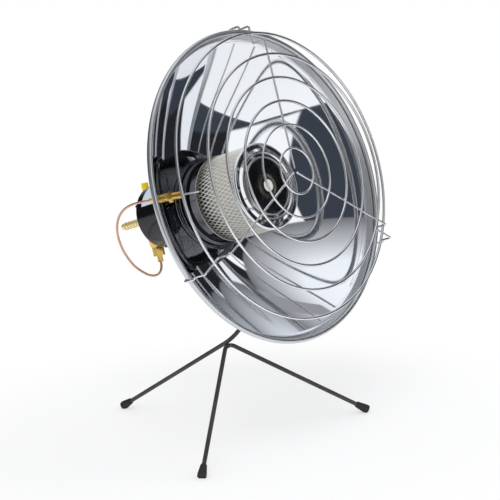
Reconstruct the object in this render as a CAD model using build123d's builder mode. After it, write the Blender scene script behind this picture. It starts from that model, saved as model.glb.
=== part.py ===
from build123d import *
from math import atan, atan2, cos, hypot, radians, sin, sqrt, tan
import os

# Gas parabolic heater: a chromed dish with a wire guard and a round burner in its focus,
# a gas valve in a black housing behind it, and a tripod of bent rods.
# Lengths are millimetres and angles are degrees.
# The origin is on the floor, under the middle of the object's box. The dish faces -Y, +Z is up.

# Dish
dish_radius = 180.0
dish_focal_length = 81.0
dish_tilt = 17.1
dish_wall = 0.8
dish_hole_radius = 26.0
rim_bead_radius = 3.0
rim_band_width = 9.5
rim_crease_depth = 10.277
rim_bead_entry = 1.577
rim_slot_width = 1.6

# Wire guard
spoke_wire = 2.4
thin_ring_wire = 2.5
thick_ring_wire = 3.0
thin_ring_count = 2
guard_flat_rings = 5
guard_inner_ring_radius = 25.9
guard_standoff = 46.5
guard_rise = 6.0
outer_ring_inset = 17.4
outer_ring_gap = 29.1
outer_ring_standoff = 28.0
spoke_angles = (86.1, -34.2, -152.9)
spoke_inner_radius = 3.2
spoke_bend_inset = 11.6
spoke_last_drop = 15.0
spoke_bend_radius = 2.0
hook_reach = 5.5
weld_gap = 0.05

# Tripod
rod_diameter = 5.0
rear_foot_reach = 184.7
front_foot_reach = 77.2
front_foot_spread = 140.2
foot_centre_height = 7.1
leg_slope = 30.03
lower_bend_radius = 120.0
lower_bend_angle = 15.2
lower_bend_start = 12.4
upper_bend_radius = 28.0
upper_bend_angle = 84.8
neck_length = 73.2
weld_place = 8.2
saddle_sink = 0.3
foot_length = 15.5
foot_end_radius = 5.2
foot_top_radius = 3.7
foot_bottom_wall = 3.5
foot_clearance = 0.02

# Tilt hinge
pivot_bolt_radius = 3.0
pivot_running_clearance = 0.06
eye_radius = 8.0
eye_thickness = 6.0
cheek_thickness = 2.5
cheek_clearance = 0.2
cheek_radius = 8.5
bracket_width = 20.0
bracket_front_gap = 15.0
bracket_rear_inset = 3.0
bracket_strap = 1.5
pivot_reach = 25.1
pivot_drop = 13.9
bolt_head_radius = 5.5
bolt_head_height = 3.6
washer_radius = 6.5
washer_thickness = 1.2
wing_hub_radius = 5.0
wing_hub_length = 7.0
wing_span = 26.0
wing_height = 11.0
wing_thickness = 2.6
wing_thread_gap = 0.04
bolt_overhang = 3.0
rivet_radius = 1.9
rivet_head_radius = 3.6
rivet_head_height = 1.9
rivet_insets = (9.0, 37.1)

# Burner
burner_radius = 50.4
burner_sheet = 0.8
base_seat_gap = 0.436
base_sheet = 1.0
base_height = 25.6
base_roll_reach = 1.3
base_roll_radius = 3.7
base_lip_inset = 0.4
base_lip_width = 3.8
base_lip_thickness = 1.0
gasket_inset = 0.2
gasket_clearance = 0.05
mixing_tube_radius = 12.0
mixing_tube_wall = 1.0
mixing_tube_reach = 60.0
mixing_mouth_radius = 15.0
mixing_mouth_length = 10.0
mixing_flange_radius = 17.0
deflector_radius = 30.0
deflector_height = 16.0
deflector_rise = 6.0
mesh_clearance = 0.05
mesh_wall = 1.2
mesh_length = 55.0
cap_skirt_lap = 3.0
cap_height = 10.4
cap_rounding = 6.0
cap_groove_inset = 7.4
cap_groove_depth = 5.4
cap_groove_width = 7.0
disc_lip_inset = 3.4
disc_lip_height = 6.5
disc_floor_rise = 2.4
disc_dome_radius = 13.0
disc_dome_rise = 2.4
cap_washer_radius = 7.0
cap_washer_thickness = 1.0
cap_screw_radius = 4.2
cap_screw_height = 2.6
stud_radius = 2.5
burner_screw_circle_radius = 21.5
burner_screw_count = 3
burner_screw_radius = 2.0
burner_screw_head_radius = 3.5
burner_screw_head_height = 2.0
burner_nut_height = 3.0
screw_clearance = 0.1

# Valve housing
housing_radius = 37.2
housing_rise = 3.4
housing_wall = 1.0
housing_reach = 83.1
housing_dish_gap = 0.3
housing_flange_inner_radius = 16.0
housing_flange_rise = 0.6
housing_rear_flange = 6.2
cover_thickness = 1.2
cover_hole_count = 6
cover_hole_radius = 4.0
cover_hole_circle_radius = 22.0
cover_screw_count = 3
cover_screw_radius = 1.6
cover_screw_head_radius = 3.0
cover_screw_head_height = 2.0
cover_screw_length = 5.0
label_thickness = 0.3
label_gap = 0.05
label_inset = 8.6
label_length = 52.0
label_low_angle = 155.5
label_sweep_angle = 52.0

# Gas valve
valve_standoff = 16.1
valve_turn_angle = 5.4
valve_radius = 9.4
valve_top = 20.0
valve_bottom = -24.0
valve_cone_bottom = -31.0
valve_cone_radius = 7.9
bonnet_radius = 6.6
bonnet_top = 29.0
bonnet_roof = 3.0
chamber_radius = 5.0
chamber_floor = 11.0
port_boss_radius = 7.0
port_boss_reach = 12.0
port_bore_radius = 2.0
inlet_rise = 4.0
magnet_radius = 4.0
magnet_depth = 18.0
magnet_nut_height = 10.5
magnet_nut_flats = 12.4
lead_nut_height = 6.0
lead_nut_flats = 5.6
lead_flange_radius = 3.5
lead_flange_height = 1.5
nipple_flats = 13.0
nipple_thread_radius = 5.0
nipple_reach = 8.1
nut_flats = 14.0
nut_height = 4.0
injector_radius = 3.5
injector_length = 7.0
injector_bore_radius = 0.4
injector_cone_length = 3.0
injector_tip_radius = 1.6
hose_hex_flats = 13.0
hose_hex_length = 5.0
hose_neck_radius = 4.0
hose_neck_length = 7.0
hose_barb_count = 5
hose_barb_spacing = 5.4
hose_barb_radius = 4.7
hose_bore_radius = 2.5

# Button
button_radius = 4.3
button_height = 12.5
button_top = 47.5
button_edge_radius = 0.8
button_socket_depth = 6.0
stem_radius = 2.5
stem_clearance = 0.06
stem_bottom = 6.0
stem_bore_bottom = 0.0
stem_collar_radius = 4.5
stem_collar_thickness = 1.0
stem_collar_gap = 0.3
spring_wire = 0.7
spring_radius = 3.7
spring_turn_count = 5
spring_end_gap = 0.3

# Thermocouple
probe_place_radius = 73.2
probe_place_angle = 165.8
holder_radius = 4.5
holder_rear = -17.0
holder_front = 13.2
holder_tail_radius = 3.0
holder_tail_rear = -26.0
holder_bore_depth = 8.0
holder_nut_flats = 11.6
holder_nut_height = 2.2
holder_nut_gap = 0.15
probe_radius = 1.1
probe_reach = 34.5
lead_diameter = 2.8
lead_bend_share = 0.45
lead_first_run = 8.2
lead_last_run = 12.5

# One overrun serves every cut.
overrun = 2.0

# Dish and guard sizes that follow. Axial places are given forward of the dish's edge.
bowl_edge_radius = dish_radius - rim_band_width
dish_depth = bowl_edge_radius ** 2 / (4 * dish_focal_length) + rim_crease_depth
outer_ring_radius = dish_radius - outer_ring_inset
flat_ring_radius = outer_ring_radius - outer_ring_gap
guard_pitch = (flat_ring_radius - guard_inner_ring_radius) / (guard_flat_rings - 1)
spoke_first_bend = outer_ring_radius - spoke_bend_inset


def dish_surface(radius):
    """Axial place of the dish's inner surface at a radius."""
    return radius ** 2 / (4 * dish_focal_length) - dish_depth


# Burner sizes that follow: the pan sits on the dish, the mesh on the pan and the cap on the mesh
base_lip_radius = burner_radius - base_lip_inset
base_neck_radius = base_lip_radius - base_lip_width
base_roll_centre = base_neck_radius + base_roll_reach
base_seat = dish_surface(base_roll_centre) + base_seat_gap
base_lip_top = base_seat + base_height
gasket_outer_radius = base_neck_radius - gasket_inset
mesh_outer_radius = burner_radius - burner_sheet - mesh_clearance
mesh_top = base_lip_top + mesh_length
cap_skirt_bottom = mesh_top - cap_skirt_lap
cap_crown_radius = burner_radius - cap_rounding
cap_crown_top = mesh_top + cap_height
cap_groove_radius = cap_crown_radius - cap_groove_inset
cap_groove_floor = cap_crown_top - cap_groove_depth
cap_seat_radius = cap_groove_radius - cap_groove_width
disc_lip_radius = cap_groove_radius - disc_lip_inset
disc_lip_top = cap_groove_floor + disc_lip_height
disc_floor = cap_groove_floor + disc_floor_rise

# Places behind the dish that follow from its depth
mixing_tube_rear = -dish_depth - mixing_tube_reach
housing_flange_face = -dish_depth + housing_flange_rise
housing_rear = -dish_depth - housing_reach
label_rear = housing_rear + label_inset
valve_axial = housing_rear - valve_standoff
nipple_front = housing_rear + nipple_reach
bracket_front = -dish_depth - bracket_front_gap
bracket_rear = housing_rear + bracket_rear_inset
pivot_axial = -dish_depth - pivot_reach
rivet_places = [housing_rear + rivet_inset for rivet_inset in rivet_insets]

# Frames of the sub-assemblies
tilt_cos = cos(radians(dish_tilt))
tilt_sin = sin(radians(dish_tilt))
slope_cos = cos(radians(leg_slope))
slope_sin = sin(radians(leg_slope))
facing = Vector(0, -tilt_cos, tilt_sin)
upward = Vector(0, tilt_sin, tilt_cos)
housing_bottom = housing_rise - housing_radius
pivot_height = housing_bottom - pivot_drop


def bend_shift(radius, start_angle, turn):
    """How far forward and up a rod comes through a bend that starts at an angle."""
    end_angle = start_angle + turn
    forward = radius * (sin(radians(end_angle)) - sin(radians(start_angle)))
    up = radius * (cos(radians(start_angle)) - cos(radians(end_angle)))
    return forward, up


lower_forward, lower_up = bend_shift(lower_bend_radius, leg_slope, lower_bend_angle)
middle_slope = leg_slope + lower_bend_angle
upper_forward, upper_up = bend_shift(upper_bend_radius, middle_slope, upper_bend_angle)
neck_slope = middle_slope + upper_bend_angle
bend_start_height = foot_centre_height + (rear_foot_reach - lower_bend_start) * tan(radians(leg_slope))
pivot_back = (
    lower_bend_start
    - lower_forward
    - upper_forward
    - neck_length * cos(radians(neck_slope))
)
pivot_up = bend_start_height + lower_up + upper_up + neck_length * sin(radians(neck_slope))

# The object's box runs from the lowest flat guard ring to the rear foot, and its middle is at Y zero.
foot_half = foot_length / 2
rear_extent = rear_foot_reach + foot_half * slope_cos + foot_end_radius * slope_sin
dish_back = pivot_back + pivot_axial * tilt_cos - pivot_height * tilt_sin
guard_back = (
    dish_back
    - guard_standoff * tilt_cos
    + guard_rise * tilt_sin
    - flat_ring_radius * tilt_sin
    - thick_ring_wire / 2
)
hub_y = -(rear_extent + guard_back) / 2

pivot = Vector(0, hub_y + pivot_back, pivot_up)
dish_centre = pivot - upward * pivot_height - facing * pivot_axial
head = Plane(origin=dish_centre, x_dir=(1, 0, 0), z_dir=facing)


def head_point(x, y, z):
    """A point given right, up and forward of the dish's rim centre."""
    return head.origin + head.x_dir * x + head.y_dir * y + head.z_dir * z


def head_direction(x, y, z):
    """A direction given right, up and forward on the dish."""
    return (head.x_dir * x + head.y_dir * y + head.z_dir * z).normalized()


def section_plane(frame):
    """The plane through a frame's axis: x is the radius and y runs along the axis."""
    return Plane(origin=frame.origin, x_dir=frame.x_dir, z_dir=-frame.y_dir)


def frame_axis(frame):
    """The axis that a frame's turned pieces turn about."""
    return Axis(frame.origin, frame.z_dir)


def turn(frame, outline, mode=Mode.ADD):
    """Revolve a closed outline of (radius, height) points about a frame's axis."""
    with BuildSketch(section_plane(frame)) as profile:
        with BuildLine():
            Polyline(outline, close=True)
        make_face()
    revolve(profile.sketch, axis=frame_axis(frame), mode=mode)


def hexagon(frame, flats, height):
    """A hexagonal prism on a frame's plane."""
    with BuildSketch(frame) as profile:
        RegularPolygon(radius=flats / 2, side_count=6, major_radius=False)
    extrude(profile.sketch, amount=height)


def disc(frame, radius, height, mode=Mode.ADD):
    """A cylinder that stands on a frame's plane."""
    with BuildSketch(frame) as profile:
        Circle(radius)
    extrude(profile.sketch, amount=height, mode=mode)


def parabola(inner_radius, outer_radius, shift):
    """The three points of the arc of parabola that the dish follows between two radii."""
    middle = (inner_radius + outer_radius) / 2
    slope = inner_radius / (2 * dish_focal_length)
    start = dish_surface(inner_radius)
    return [
        (inner_radius, start + shift),
        (middle, start + slope * (middle - inner_radius) + shift),
        (outer_radius, dish_surface(outer_radius) + shift),
    ]


def keep(piece, name):
    """Name a finished piece and write its STEP file."""
    piece.part.label = name
    export_step(piece.part, f"parts/{name}.step")


os.makedirs("parts", exist_ok=True)

housing_frame = Plane(head_point(0, housing_rise, 0), x_dir=head.x_dir, z_dir=head.z_dir)
valve_up = head_direction(sin(radians(valve_turn_angle)), cos(radians(valve_turn_angle)), 0)
valve_frame = Plane(head_point(0, 0, valve_axial), x_dir=head.z_dir, z_dir=valve_up)
inlet_frame = Plane(
    head_point(0, inlet_rise, valve_axial - port_boss_reach), x_dir=head.x_dir, z_dir=-head.z_dir
)

wall_slope = atan(probe_place_radius / (2 * dish_focal_length))
place_cos = cos(radians(probe_place_angle))
place_sin = sin(radians(probe_place_angle))
probe_direction = head_direction(
    -place_cos * sin(wall_slope), -place_sin * sin(wall_slope), cos(wall_slope)
)
probe_frame = Plane(
    head_point(
        probe_place_radius * place_cos,
        probe_place_radius * place_sin,
        dish_surface(probe_place_radius),
    ),
    x_dir=head_direction(-place_sin, place_cos, 0),
    z_dir=probe_direction,
)

# Reflector: a paraboloid bowl, a steeper band outside a crease, and an edge rolled into a bead
bead_centre_radius = dish_radius - rim_bead_radius
band_top = -rim_bead_entry
band_top_radius = bead_centre_radius - rim_bead_radius + dish_wall
with BuildPart() as reflector:
    with BuildSketch(section_plane(head)) as bowl_outline:
        with BuildLine():
            inner_curve = Bezier(parabola(dish_hole_radius, bowl_edge_radius, 0))
            outer_curve = Bezier(parabola(dish_hole_radius, bowl_edge_radius, -dish_wall))
            Line(inner_curve @ 0, outer_curve @ 0)
            Line(inner_curve @ 1, outer_curve @ 1)
        make_face()
        with BuildLine():
            Polyline(
                (bowl_edge_radius, dish_surface(bowl_edge_radius)),
                (band_top_radius - dish_wall, band_top),
                (band_top_radius, band_top),
                (bowl_edge_radius, dish_surface(bowl_edge_radius) - dish_wall),
                close=True,
            )
        make_face()
        with Locations((bead_centre_radius, 0)):
            Circle(rim_bead_radius)
            Circle(rim_bead_radius - dish_wall, mode=Mode.SUBTRACT)
        with Locations((bead_centre_radius, -rim_bead_radius)):
            Rectangle(rim_slot_width, rim_bead_radius, mode=Mode.SUBTRACT)
    revolve(bowl_outline.sketch, axis=frame_axis(head))
    with BuildSketch(probe_frame) as probe_hole:
        Circle(holder_radius + screw_clearance)
    extrude(probe_hole.sketch, amount=overrun + dish_wall, both=True, mode=Mode.SUBTRACT)
keep(reflector, "reflector")

# Wire guard: five flat rings, one outer ring further back, and three stepped spokes behind them
spoke_gap = (thick_ring_wire + spoke_wire) / 2 + weld_gap
front_level = guard_standoff - spoke_gap
middle_level = outer_ring_standoff - spoke_gap
rim_level = middle_level - spoke_last_drop
hook_level = -rim_bead_radius - spoke_wire / 2 - weld_gap
ring_places = []
for ring_index in range(guard_flat_rings):
    ring_wire = thin_ring_wire if ring_index < thin_ring_count else thick_ring_wire
    ring_radius = guard_inner_ring_radius + ring_index * guard_pitch
    ring_standoff = front_level + (ring_wire + spoke_wire) / 2 + weld_gap
    ring_places.append((ring_radius, ring_standoff, ring_wire))
ring_places.append((outer_ring_radius, outer_ring_standoff, thick_ring_wire))
for ring_number, (ring_radius, ring_standoff, ring_wire) in enumerate(ring_places, start=1):
    ring_plane = Plane(
        head_point(0, guard_rise, ring_standoff), x_dir=head.x_dir, z_dir=head.z_dir
    )
    with BuildPart(ring_plane) as guard_ring:
        Torus(ring_radius, ring_wire / 2)
    keep(guard_ring, f"guard_ring_{ring_number}")

for spoke_number, spoke_angle in enumerate(spoke_angles, start=1):
    angle = radians(spoke_angle)
    # Distance from the guard's centre to the rim, because the guard sits a little high
    rim_distance = sqrt(dish_radius ** 2 - (guard_rise * cos(angle)) ** 2) - guard_rise * sin(angle)
    hook_radius = rim_distance + spoke_wire / 2 + weld_gap
    last_bend = hook_radius - 2 * spoke_bend_radius - weld_gap
    spoke_plane = Plane(
        head_point(0, guard_rise, 0),
        x_dir=head_direction(cos(angle), sin(angle), 0),
        z_dir=head_direction(sin(angle), -cos(angle), 0),
    )
    with BuildPart() as guard_spoke:
        with BuildLine(spoke_plane) as spoke_path:
            FilletPolyline(
                (spoke_inner_radius, front_level),
                (spoke_first_bend, front_level),
                (spoke_first_bend, middle_level),
                (last_bend, middle_level),
                (last_bend, rim_level),
                (hook_radius, rim_level),
                (hook_radius, hook_level),
                (hook_radius - hook_reach, hook_level),
                radius=spoke_bend_radius,
            )
        with BuildSketch(Plane(spoke_path.line @ 0, z_dir=spoke_path.line % 0)) as spoke_section:
            Circle(spoke_wire / 2)
        sweep(spoke_section.sketch, path=spoke_path.line)
    keep(guard_spoke, f"guard_spoke_{spoke_number}")

# Burner base: a pressed pan with a rolled outer ring, a neck and a thin lip for the mesh
base_top = base_seat + base_sheet
roll_height = base_seat + base_roll_radius
neck_top = base_lip_top - base_lip_thickness
with BuildPart() as burner_base:
    with BuildSketch(section_plane(head)) as base_outline:
        with BuildLine():
            Polyline(
                (mixing_tube_radius + screw_clearance, base_seat),
                (base_roll_centre, base_seat),
                (base_roll_centre, base_top),
                (base_neck_radius, base_top),
                (base_neck_radius, neck_top),
                (base_lip_radius, neck_top),
                (base_lip_radius, base_lip_top),
                (base_neck_radius - base_sheet, base_lip_top),
                (base_neck_radius - base_sheet, base_top),
                (mixing_tube_radius + screw_clearance, base_top),
                close=True,
            )
        make_face()
        with Locations((base_roll_centre, roll_height)):
            Circle(base_roll_radius)
            Circle(base_roll_radius - base_sheet, mode=Mode.SUBTRACT)
        with Locations((base_roll_centre - base_roll_radius, roll_height)):
            Rectangle(base_roll_radius, base_roll_radius, mode=Mode.SUBTRACT)
        with BuildLine():
            Polyline(
                (base_neck_radius - base_sheet, base_seat),
                (base_roll_centre, base_seat),
                (base_roll_centre, base_top),
                (base_neck_radius, base_top),
                (base_neck_radius, neck_top),
                (base_neck_radius - base_sheet, neck_top),
                close=True,
            )
        make_face()
    revolve(base_outline.sketch, axis=frame_axis(head))
    base_plane = Plane(head_point(0, 0, base_seat), x_dir=head.x_dir, z_dir=head.z_dir)
    with BuildSketch(base_plane) as base_holes:
        with PolarLocations(burner_screw_circle_radius, burner_screw_count):
            Circle(burner_screw_radius + screw_clearance)
    extrude(base_holes.sketch, amount=base_sheet + overrun, both=True, mode=Mode.SUBTRACT)
keep(burner_base, "burner_base")

# Base gasket: fills the wedge between the pan's flat bottom and the curved dish
gasket_top = base_seat - gasket_clearance
with BuildPart() as base_gasket:
    with BuildSketch(section_plane(head)) as gasket_outline:
        with BuildLine():
            seat_curve = Bezier(
                parabola(dish_hole_radius + dish_wall, gasket_outer_radius, gasket_clearance)
            )
            Line(seat_curve @ 0, (dish_hole_radius + dish_wall, gasket_top))
            Line((dish_hole_radius + dish_wall, gasket_top), (gasket_outer_radius, gasket_top))
            Line((gasket_outer_radius, gasket_top), seat_curve @ 1)
        make_face()
    revolve(gasket_outline.sketch, axis=frame_axis(head))
keep(base_gasket, "base_gasket")

# Mixing tube: a straight tube with a bell mouth behind and a flange that lies on the pan
flange_bottom = base_top
flange_top = base_top + mixing_tube_wall
bore = mixing_tube_radius - mixing_tube_wall
mouth_front = mixing_tube_rear + mixing_mouth_length
with BuildPart() as mixing_tube:
    turn(
        head,
        [
            (mixing_mouth_radius, mixing_tube_rear),
            (mixing_tube_radius, mouth_front),
            (mixing_tube_radius, flange_bottom),
            (mixing_flange_radius, flange_bottom),
            (mixing_flange_radius, flange_top),
            (bore, flange_top),
            (bore, mouth_front),
            (mixing_mouth_radius - mixing_tube_wall, mixing_tube_rear),
        ],
    )
keep(mixing_tube, "mixing_tube")

# Deflector cone: spreads the gas and air mixture out to the mesh, held by the centre stud
cone_bottom = flange_top + deflector_rise
cone_top = cone_bottom + deflector_height
with BuildPart() as deflector_cone:
    turn(
        head,
        [
            (stud_radius + screw_clearance, cone_bottom),
            (deflector_radius, cone_top),
            (deflector_radius, cone_top + burner_sheet),
            (stud_radius + screw_clearance, cone_bottom + burner_sheet),
        ],
    )
keep(deflector_cone, "deflector_cone")

# Stud bridge: a cross of flat strip on the flange that carries the centre stud
bridge_bottom = flange_top
bridge_plane = Plane(head_point(0, 0, bridge_bottom), x_dir=head.x_dir, z_dir=head.z_dir)
with BuildPart() as stud_bridge:
    with BuildSketch(bridge_plane) as bridge_outline:
        Rectangle(2 * mixing_flange_radius, 4 * stud_radius)
        Rectangle(4 * stud_radius, 2 * mixing_flange_radius)
        Circle(stud_radius, mode=Mode.SUBTRACT)
    extrude(bridge_outline.sketch, amount=base_sheet)
keep(stud_bridge, "stud_bridge")

# Emitter mesh: a sleeve of expanded metal, here its plain wall
with BuildPart() as emitter_mesh:
    turn(
        head,
        [
            (mesh_outer_radius - mesh_wall, base_lip_top),
            (mesh_outer_radius, base_lip_top),
            (mesh_outer_radius, mesh_top),
            (mesh_outer_radius - mesh_wall, mesh_top),
        ],
    )
keep(emitter_mesh, "emitter_mesh")

# Burner cap: a skirt, a rounded crown and a groove that carries the pressed disc
skirt_top = cap_crown_top - cap_rounding
disc_seat = disc_floor - burner_sheet
with BuildPart() as burner_cap:
    with BuildSketch(section_plane(head)) as cap_outline:
        with BuildLine():
            Line((burner_radius, cap_skirt_bottom), (burner_radius, skirt_top))
            crown_arc = CenterArc((cap_crown_radius, skirt_top), cap_rounding, 0, 90)
            groove_side = Line(crown_arc @ 1, (cap_groove_radius, cap_groove_floor))
            groove_floor = Line(groove_side @ 1, (cap_seat_radius, cap_groove_floor))
            groove_end = Line(groove_floor @ 1, (cap_seat_radius, cap_groove_floor - burner_sheet))
            back_floor = Line(
                groove_end @ 1,
                (cap_groove_radius + burner_sheet, cap_groove_floor - burner_sheet),
            )
            Line(back_floor @ 1, (cap_crown_radius, cap_crown_top - burner_sheet))
            back_arc = CenterArc(
                (cap_crown_radius, skirt_top), cap_rounding - burner_sheet, 0, 90
            )
            back_skirt = Line(back_arc @ 0, (burner_radius - burner_sheet, cap_skirt_bottom))
            Line(back_skirt @ 1, (burner_radius, cap_skirt_bottom))
        make_face()
    revolve(cap_outline.sketch, axis=frame_axis(head))
keep(burner_cap, "burner_cap")

# Cap disc: a pressed disc with a thin raised lip and a low dome
with BuildPart() as cap_disc:
    turn(
        head,
        [
            (stud_radius + screw_clearance, disc_floor + disc_dome_rise),
            (cap_washer_radius, disc_floor + disc_dome_rise),
            (disc_dome_radius, disc_floor),
            (disc_lip_radius - burner_sheet, disc_floor),
            (disc_lip_radius - burner_sheet, disc_lip_top),
            (disc_lip_radius, disc_lip_top),
            (disc_lip_radius, cap_groove_floor),
            (disc_lip_radius - burner_sheet, cap_groove_floor),
            (disc_lip_radius - burner_sheet, disc_seat),
            (disc_dome_radius, disc_seat),
            (cap_washer_radius, disc_seat + disc_dome_rise),
            (stud_radius + screw_clearance, disc_seat + disc_dome_rise),
        ],
    )
keep(cap_disc, "cap_disc")

# Cap washer and centre screw, whose shank is the long stud down to the bridge
washer_bottom = disc_floor + disc_dome_rise
washer_top = washer_bottom + cap_washer_thickness
with BuildPart() as cap_washer:
    turn(
        head,
        [
            (stud_radius + screw_clearance, washer_bottom),
            (cap_washer_radius, washer_bottom),
            (cap_washer_radius, washer_top),
            (stud_radius + screw_clearance, washer_top),
        ],
    )
keep(cap_washer, "cap_washer")

with BuildPart() as cap_screw:
    turn(
        head,
        [
            (0, bridge_bottom),
            (stud_radius, bridge_bottom),
            (stud_radius, washer_top),
            (cap_screw_radius, washer_top),
            (cap_screw_radius, washer_top + cap_screw_height / 2),
            (stud_radius, washer_top + cap_screw_height),
            (0, washer_top + cap_screw_height),
        ],
    )
    slot_plane = Plane(
        head_point(0, 0, washer_top + cap_screw_height), x_dir=head.x_dir, z_dir=head.z_dir
    )
    with BuildSketch(slot_plane) as screw_slot:
        Rectangle(2 * cap_screw_radius, cap_screw_height / 3)
    extrude(screw_slot.sketch, amount=-cap_screw_height / 2, mode=Mode.SUBTRACT)
keep(cap_screw, "cap_screw")

# Burner screws and their nuts clamp the pan, the dish's back and the housing's front flange
housing_flange_back = housing_flange_face - housing_wall
head_face = Plane(head_point(0, 0, base_top), x_dir=head.x_dir, z_dir=head.z_dir)
nut_face = Plane(head_point(0, 0, housing_flange_back), x_dir=head.x_dir, z_dir=-head.z_dir)
screw_shank = base_top - housing_flange_back + burner_nut_height
with BuildPart() as burner_screws:
    with BuildSketch(head_face) as screw_heads:
        with PolarLocations(burner_screw_circle_radius, burner_screw_count):
            Circle(burner_screw_head_radius)
    extrude(screw_heads.sketch, amount=burner_screw_head_height)
    with BuildSketch(head_face) as screw_shanks:
        with PolarLocations(burner_screw_circle_radius, burner_screw_count):
            Circle(burner_screw_radius)
    extrude(screw_shanks.sketch, amount=-screw_shank)
keep(burner_screws, "burner_screws")

with BuildPart() as burner_nuts:
    with BuildSketch(nut_face) as nut_outlines:
        with PolarLocations(burner_screw_circle_radius, burner_screw_count):
            RegularPolygon(radius=burner_screw_head_radius, side_count=6)
            Circle(burner_screw_radius, mode=Mode.SUBTRACT)
    extrude(nut_outlines.sketch, amount=burner_nut_height)
keep(burner_nuts, "burner_nuts")

# Valve housing: a round black can whose front edge follows the dish
housing_bore = housing_radius - housing_wall
saddle_radius = housing_radius + label_gap
strap_bottom = housing_bottom - label_gap - bracket_strap
rivet_plane = Plane(head_point(0, strap_bottom, 0), x_dir=head.x_dir, z_dir=-head.y_dir)
rivet_spots = [(0, rivet_place) for rivet_place in rivet_places]
with BuildPart() as valve_housing:
    turn(
        housing_frame,
        [
            (housing_radius - housing_rear_flange, housing_rear),
            (housing_radius, housing_rear),
            (housing_radius, housing_flange_face + housing_radius / 2),
            (housing_bore, housing_flange_face + housing_radius / 2),
            (housing_bore, housing_flange_face),
            (housing_flange_inner_radius, housing_flange_face),
            (housing_flange_inner_radius, housing_flange_back),
            (housing_bore, housing_flange_back),
            (housing_bore, housing_rear + housing_wall),
            (housing_radius - housing_rear_flange, housing_rear + housing_wall),
        ],
    )
    with BuildSketch(section_plane(head)) as dish_space:
        with BuildLine():
            back_curve = Bezier(parabola(0, 2 * housing_radius, -dish_wall - housing_dish_gap))
            Line(back_curve @ 1, (2 * housing_radius, 0))
            Line((2 * housing_radius, 0), (0, 0))
            Line((0, 0), back_curve @ 0)
        make_face()
    revolve(dish_space.sketch, axis=frame_axis(head), mode=Mode.SUBTRACT)
    with BuildSketch(nut_face) as flange_holes:
        with PolarLocations(burner_screw_circle_radius, burner_screw_count):
            Circle(burner_screw_radius + screw_clearance)
    extrude(flange_holes.sketch, amount=housing_wall + overrun, both=True, mode=Mode.SUBTRACT)
    with BuildSketch(rivet_plane) as rivet_holes:
        with Locations(*rivet_spots):
            Circle(rivet_radius + screw_clearance)
    extrude(rivet_holes.sketch, amount=-bracket_strap - housing_wall - overrun, mode=Mode.SUBTRACT)
    cover_face = Plane(
        head_point(0, housing_rise, housing_rear - cover_thickness),
        x_dir=head.x_dir,
        z_dir=-head.z_dir,
    )
    cover_screw_circle_radius = housing_radius - housing_rear_flange / 2
    with BuildSketch(cover_face) as cover_screw_holes:
        with PolarLocations(cover_screw_circle_radius, cover_screw_count, start_angle=90):
            Circle(cover_screw_radius + screw_clearance)
    extrude(
        cover_screw_holes.sketch,
        amount=-cover_thickness - housing_wall - overrun,
        mode=Mode.SUBTRACT,
    )
keep(valve_housing, "valve_housing")

# Rear cover: a flat plate with air holes round the gas nipple
with BuildPart() as housing_rear_cover:
    with BuildSketch(cover_face) as cover_outline:
        Circle(housing_radius)
        with PolarLocations(cover_hole_circle_radius, cover_hole_count, start_angle=30):
            Circle(cover_hole_radius, mode=Mode.SUBTRACT)
        with PolarLocations(cover_screw_circle_radius, cover_screw_count, start_angle=90):
            Circle(cover_screw_radius + screw_clearance, mode=Mode.SUBTRACT)
    extrude(cover_outline.sketch, amount=-cover_thickness)
    nipple_plane = Plane(
        head_point(0, 0, housing_rear - cover_thickness), x_dir=head.x_dir, z_dir=head.z_dir
    )
    nipple_hole_radius = nipple_thread_radius + screw_clearance
    disc(nipple_plane, nipple_hole_radius, cover_thickness + overrun, Mode.SUBTRACT)
keep(housing_rear_cover, "housing_rear_cover")

with BuildPart() as cover_screws:
    with BuildSketch(cover_face) as cover_heads:
        with PolarLocations(cover_screw_circle_radius, cover_screw_count, start_angle=90):
            Circle(cover_screw_head_radius)
    extrude(cover_heads.sketch, amount=cover_screw_head_height)
    with BuildSketch(cover_face) as cover_shanks:
        with PolarLocations(cover_screw_circle_radius, cover_screw_count, start_angle=90):
            Circle(cover_screw_radius)
    extrude(cover_shanks.sketch, amount=-cover_screw_length)
keep(cover_screws, "cover_screws")

# Blank label: a thin plate on the housing's wall, with nothing printed on it
label_plane = Plane(
    head_point(0, housing_rise, label_rear), x_dir=head.x_dir, z_dir=head.z_dir
)
label_inner = housing_radius + label_gap
label_outer = label_inner + label_thickness
with BuildPart() as blank_label:
    with BuildSketch(label_plane) as label_outline:
        with BuildLine():
            label_face = CenterArc((0, 0), label_outer, label_low_angle, -label_sweep_angle)
            label_back = CenterArc((0, 0), label_inner, label_low_angle, -label_sweep_angle)
            Line(label_face @ 0, label_back @ 0)
            Line(label_face @ 1, label_back @ 1)
        make_face()
    extrude(label_outline.sketch, amount=label_length)
keep(blank_label, "blank_label")

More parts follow.
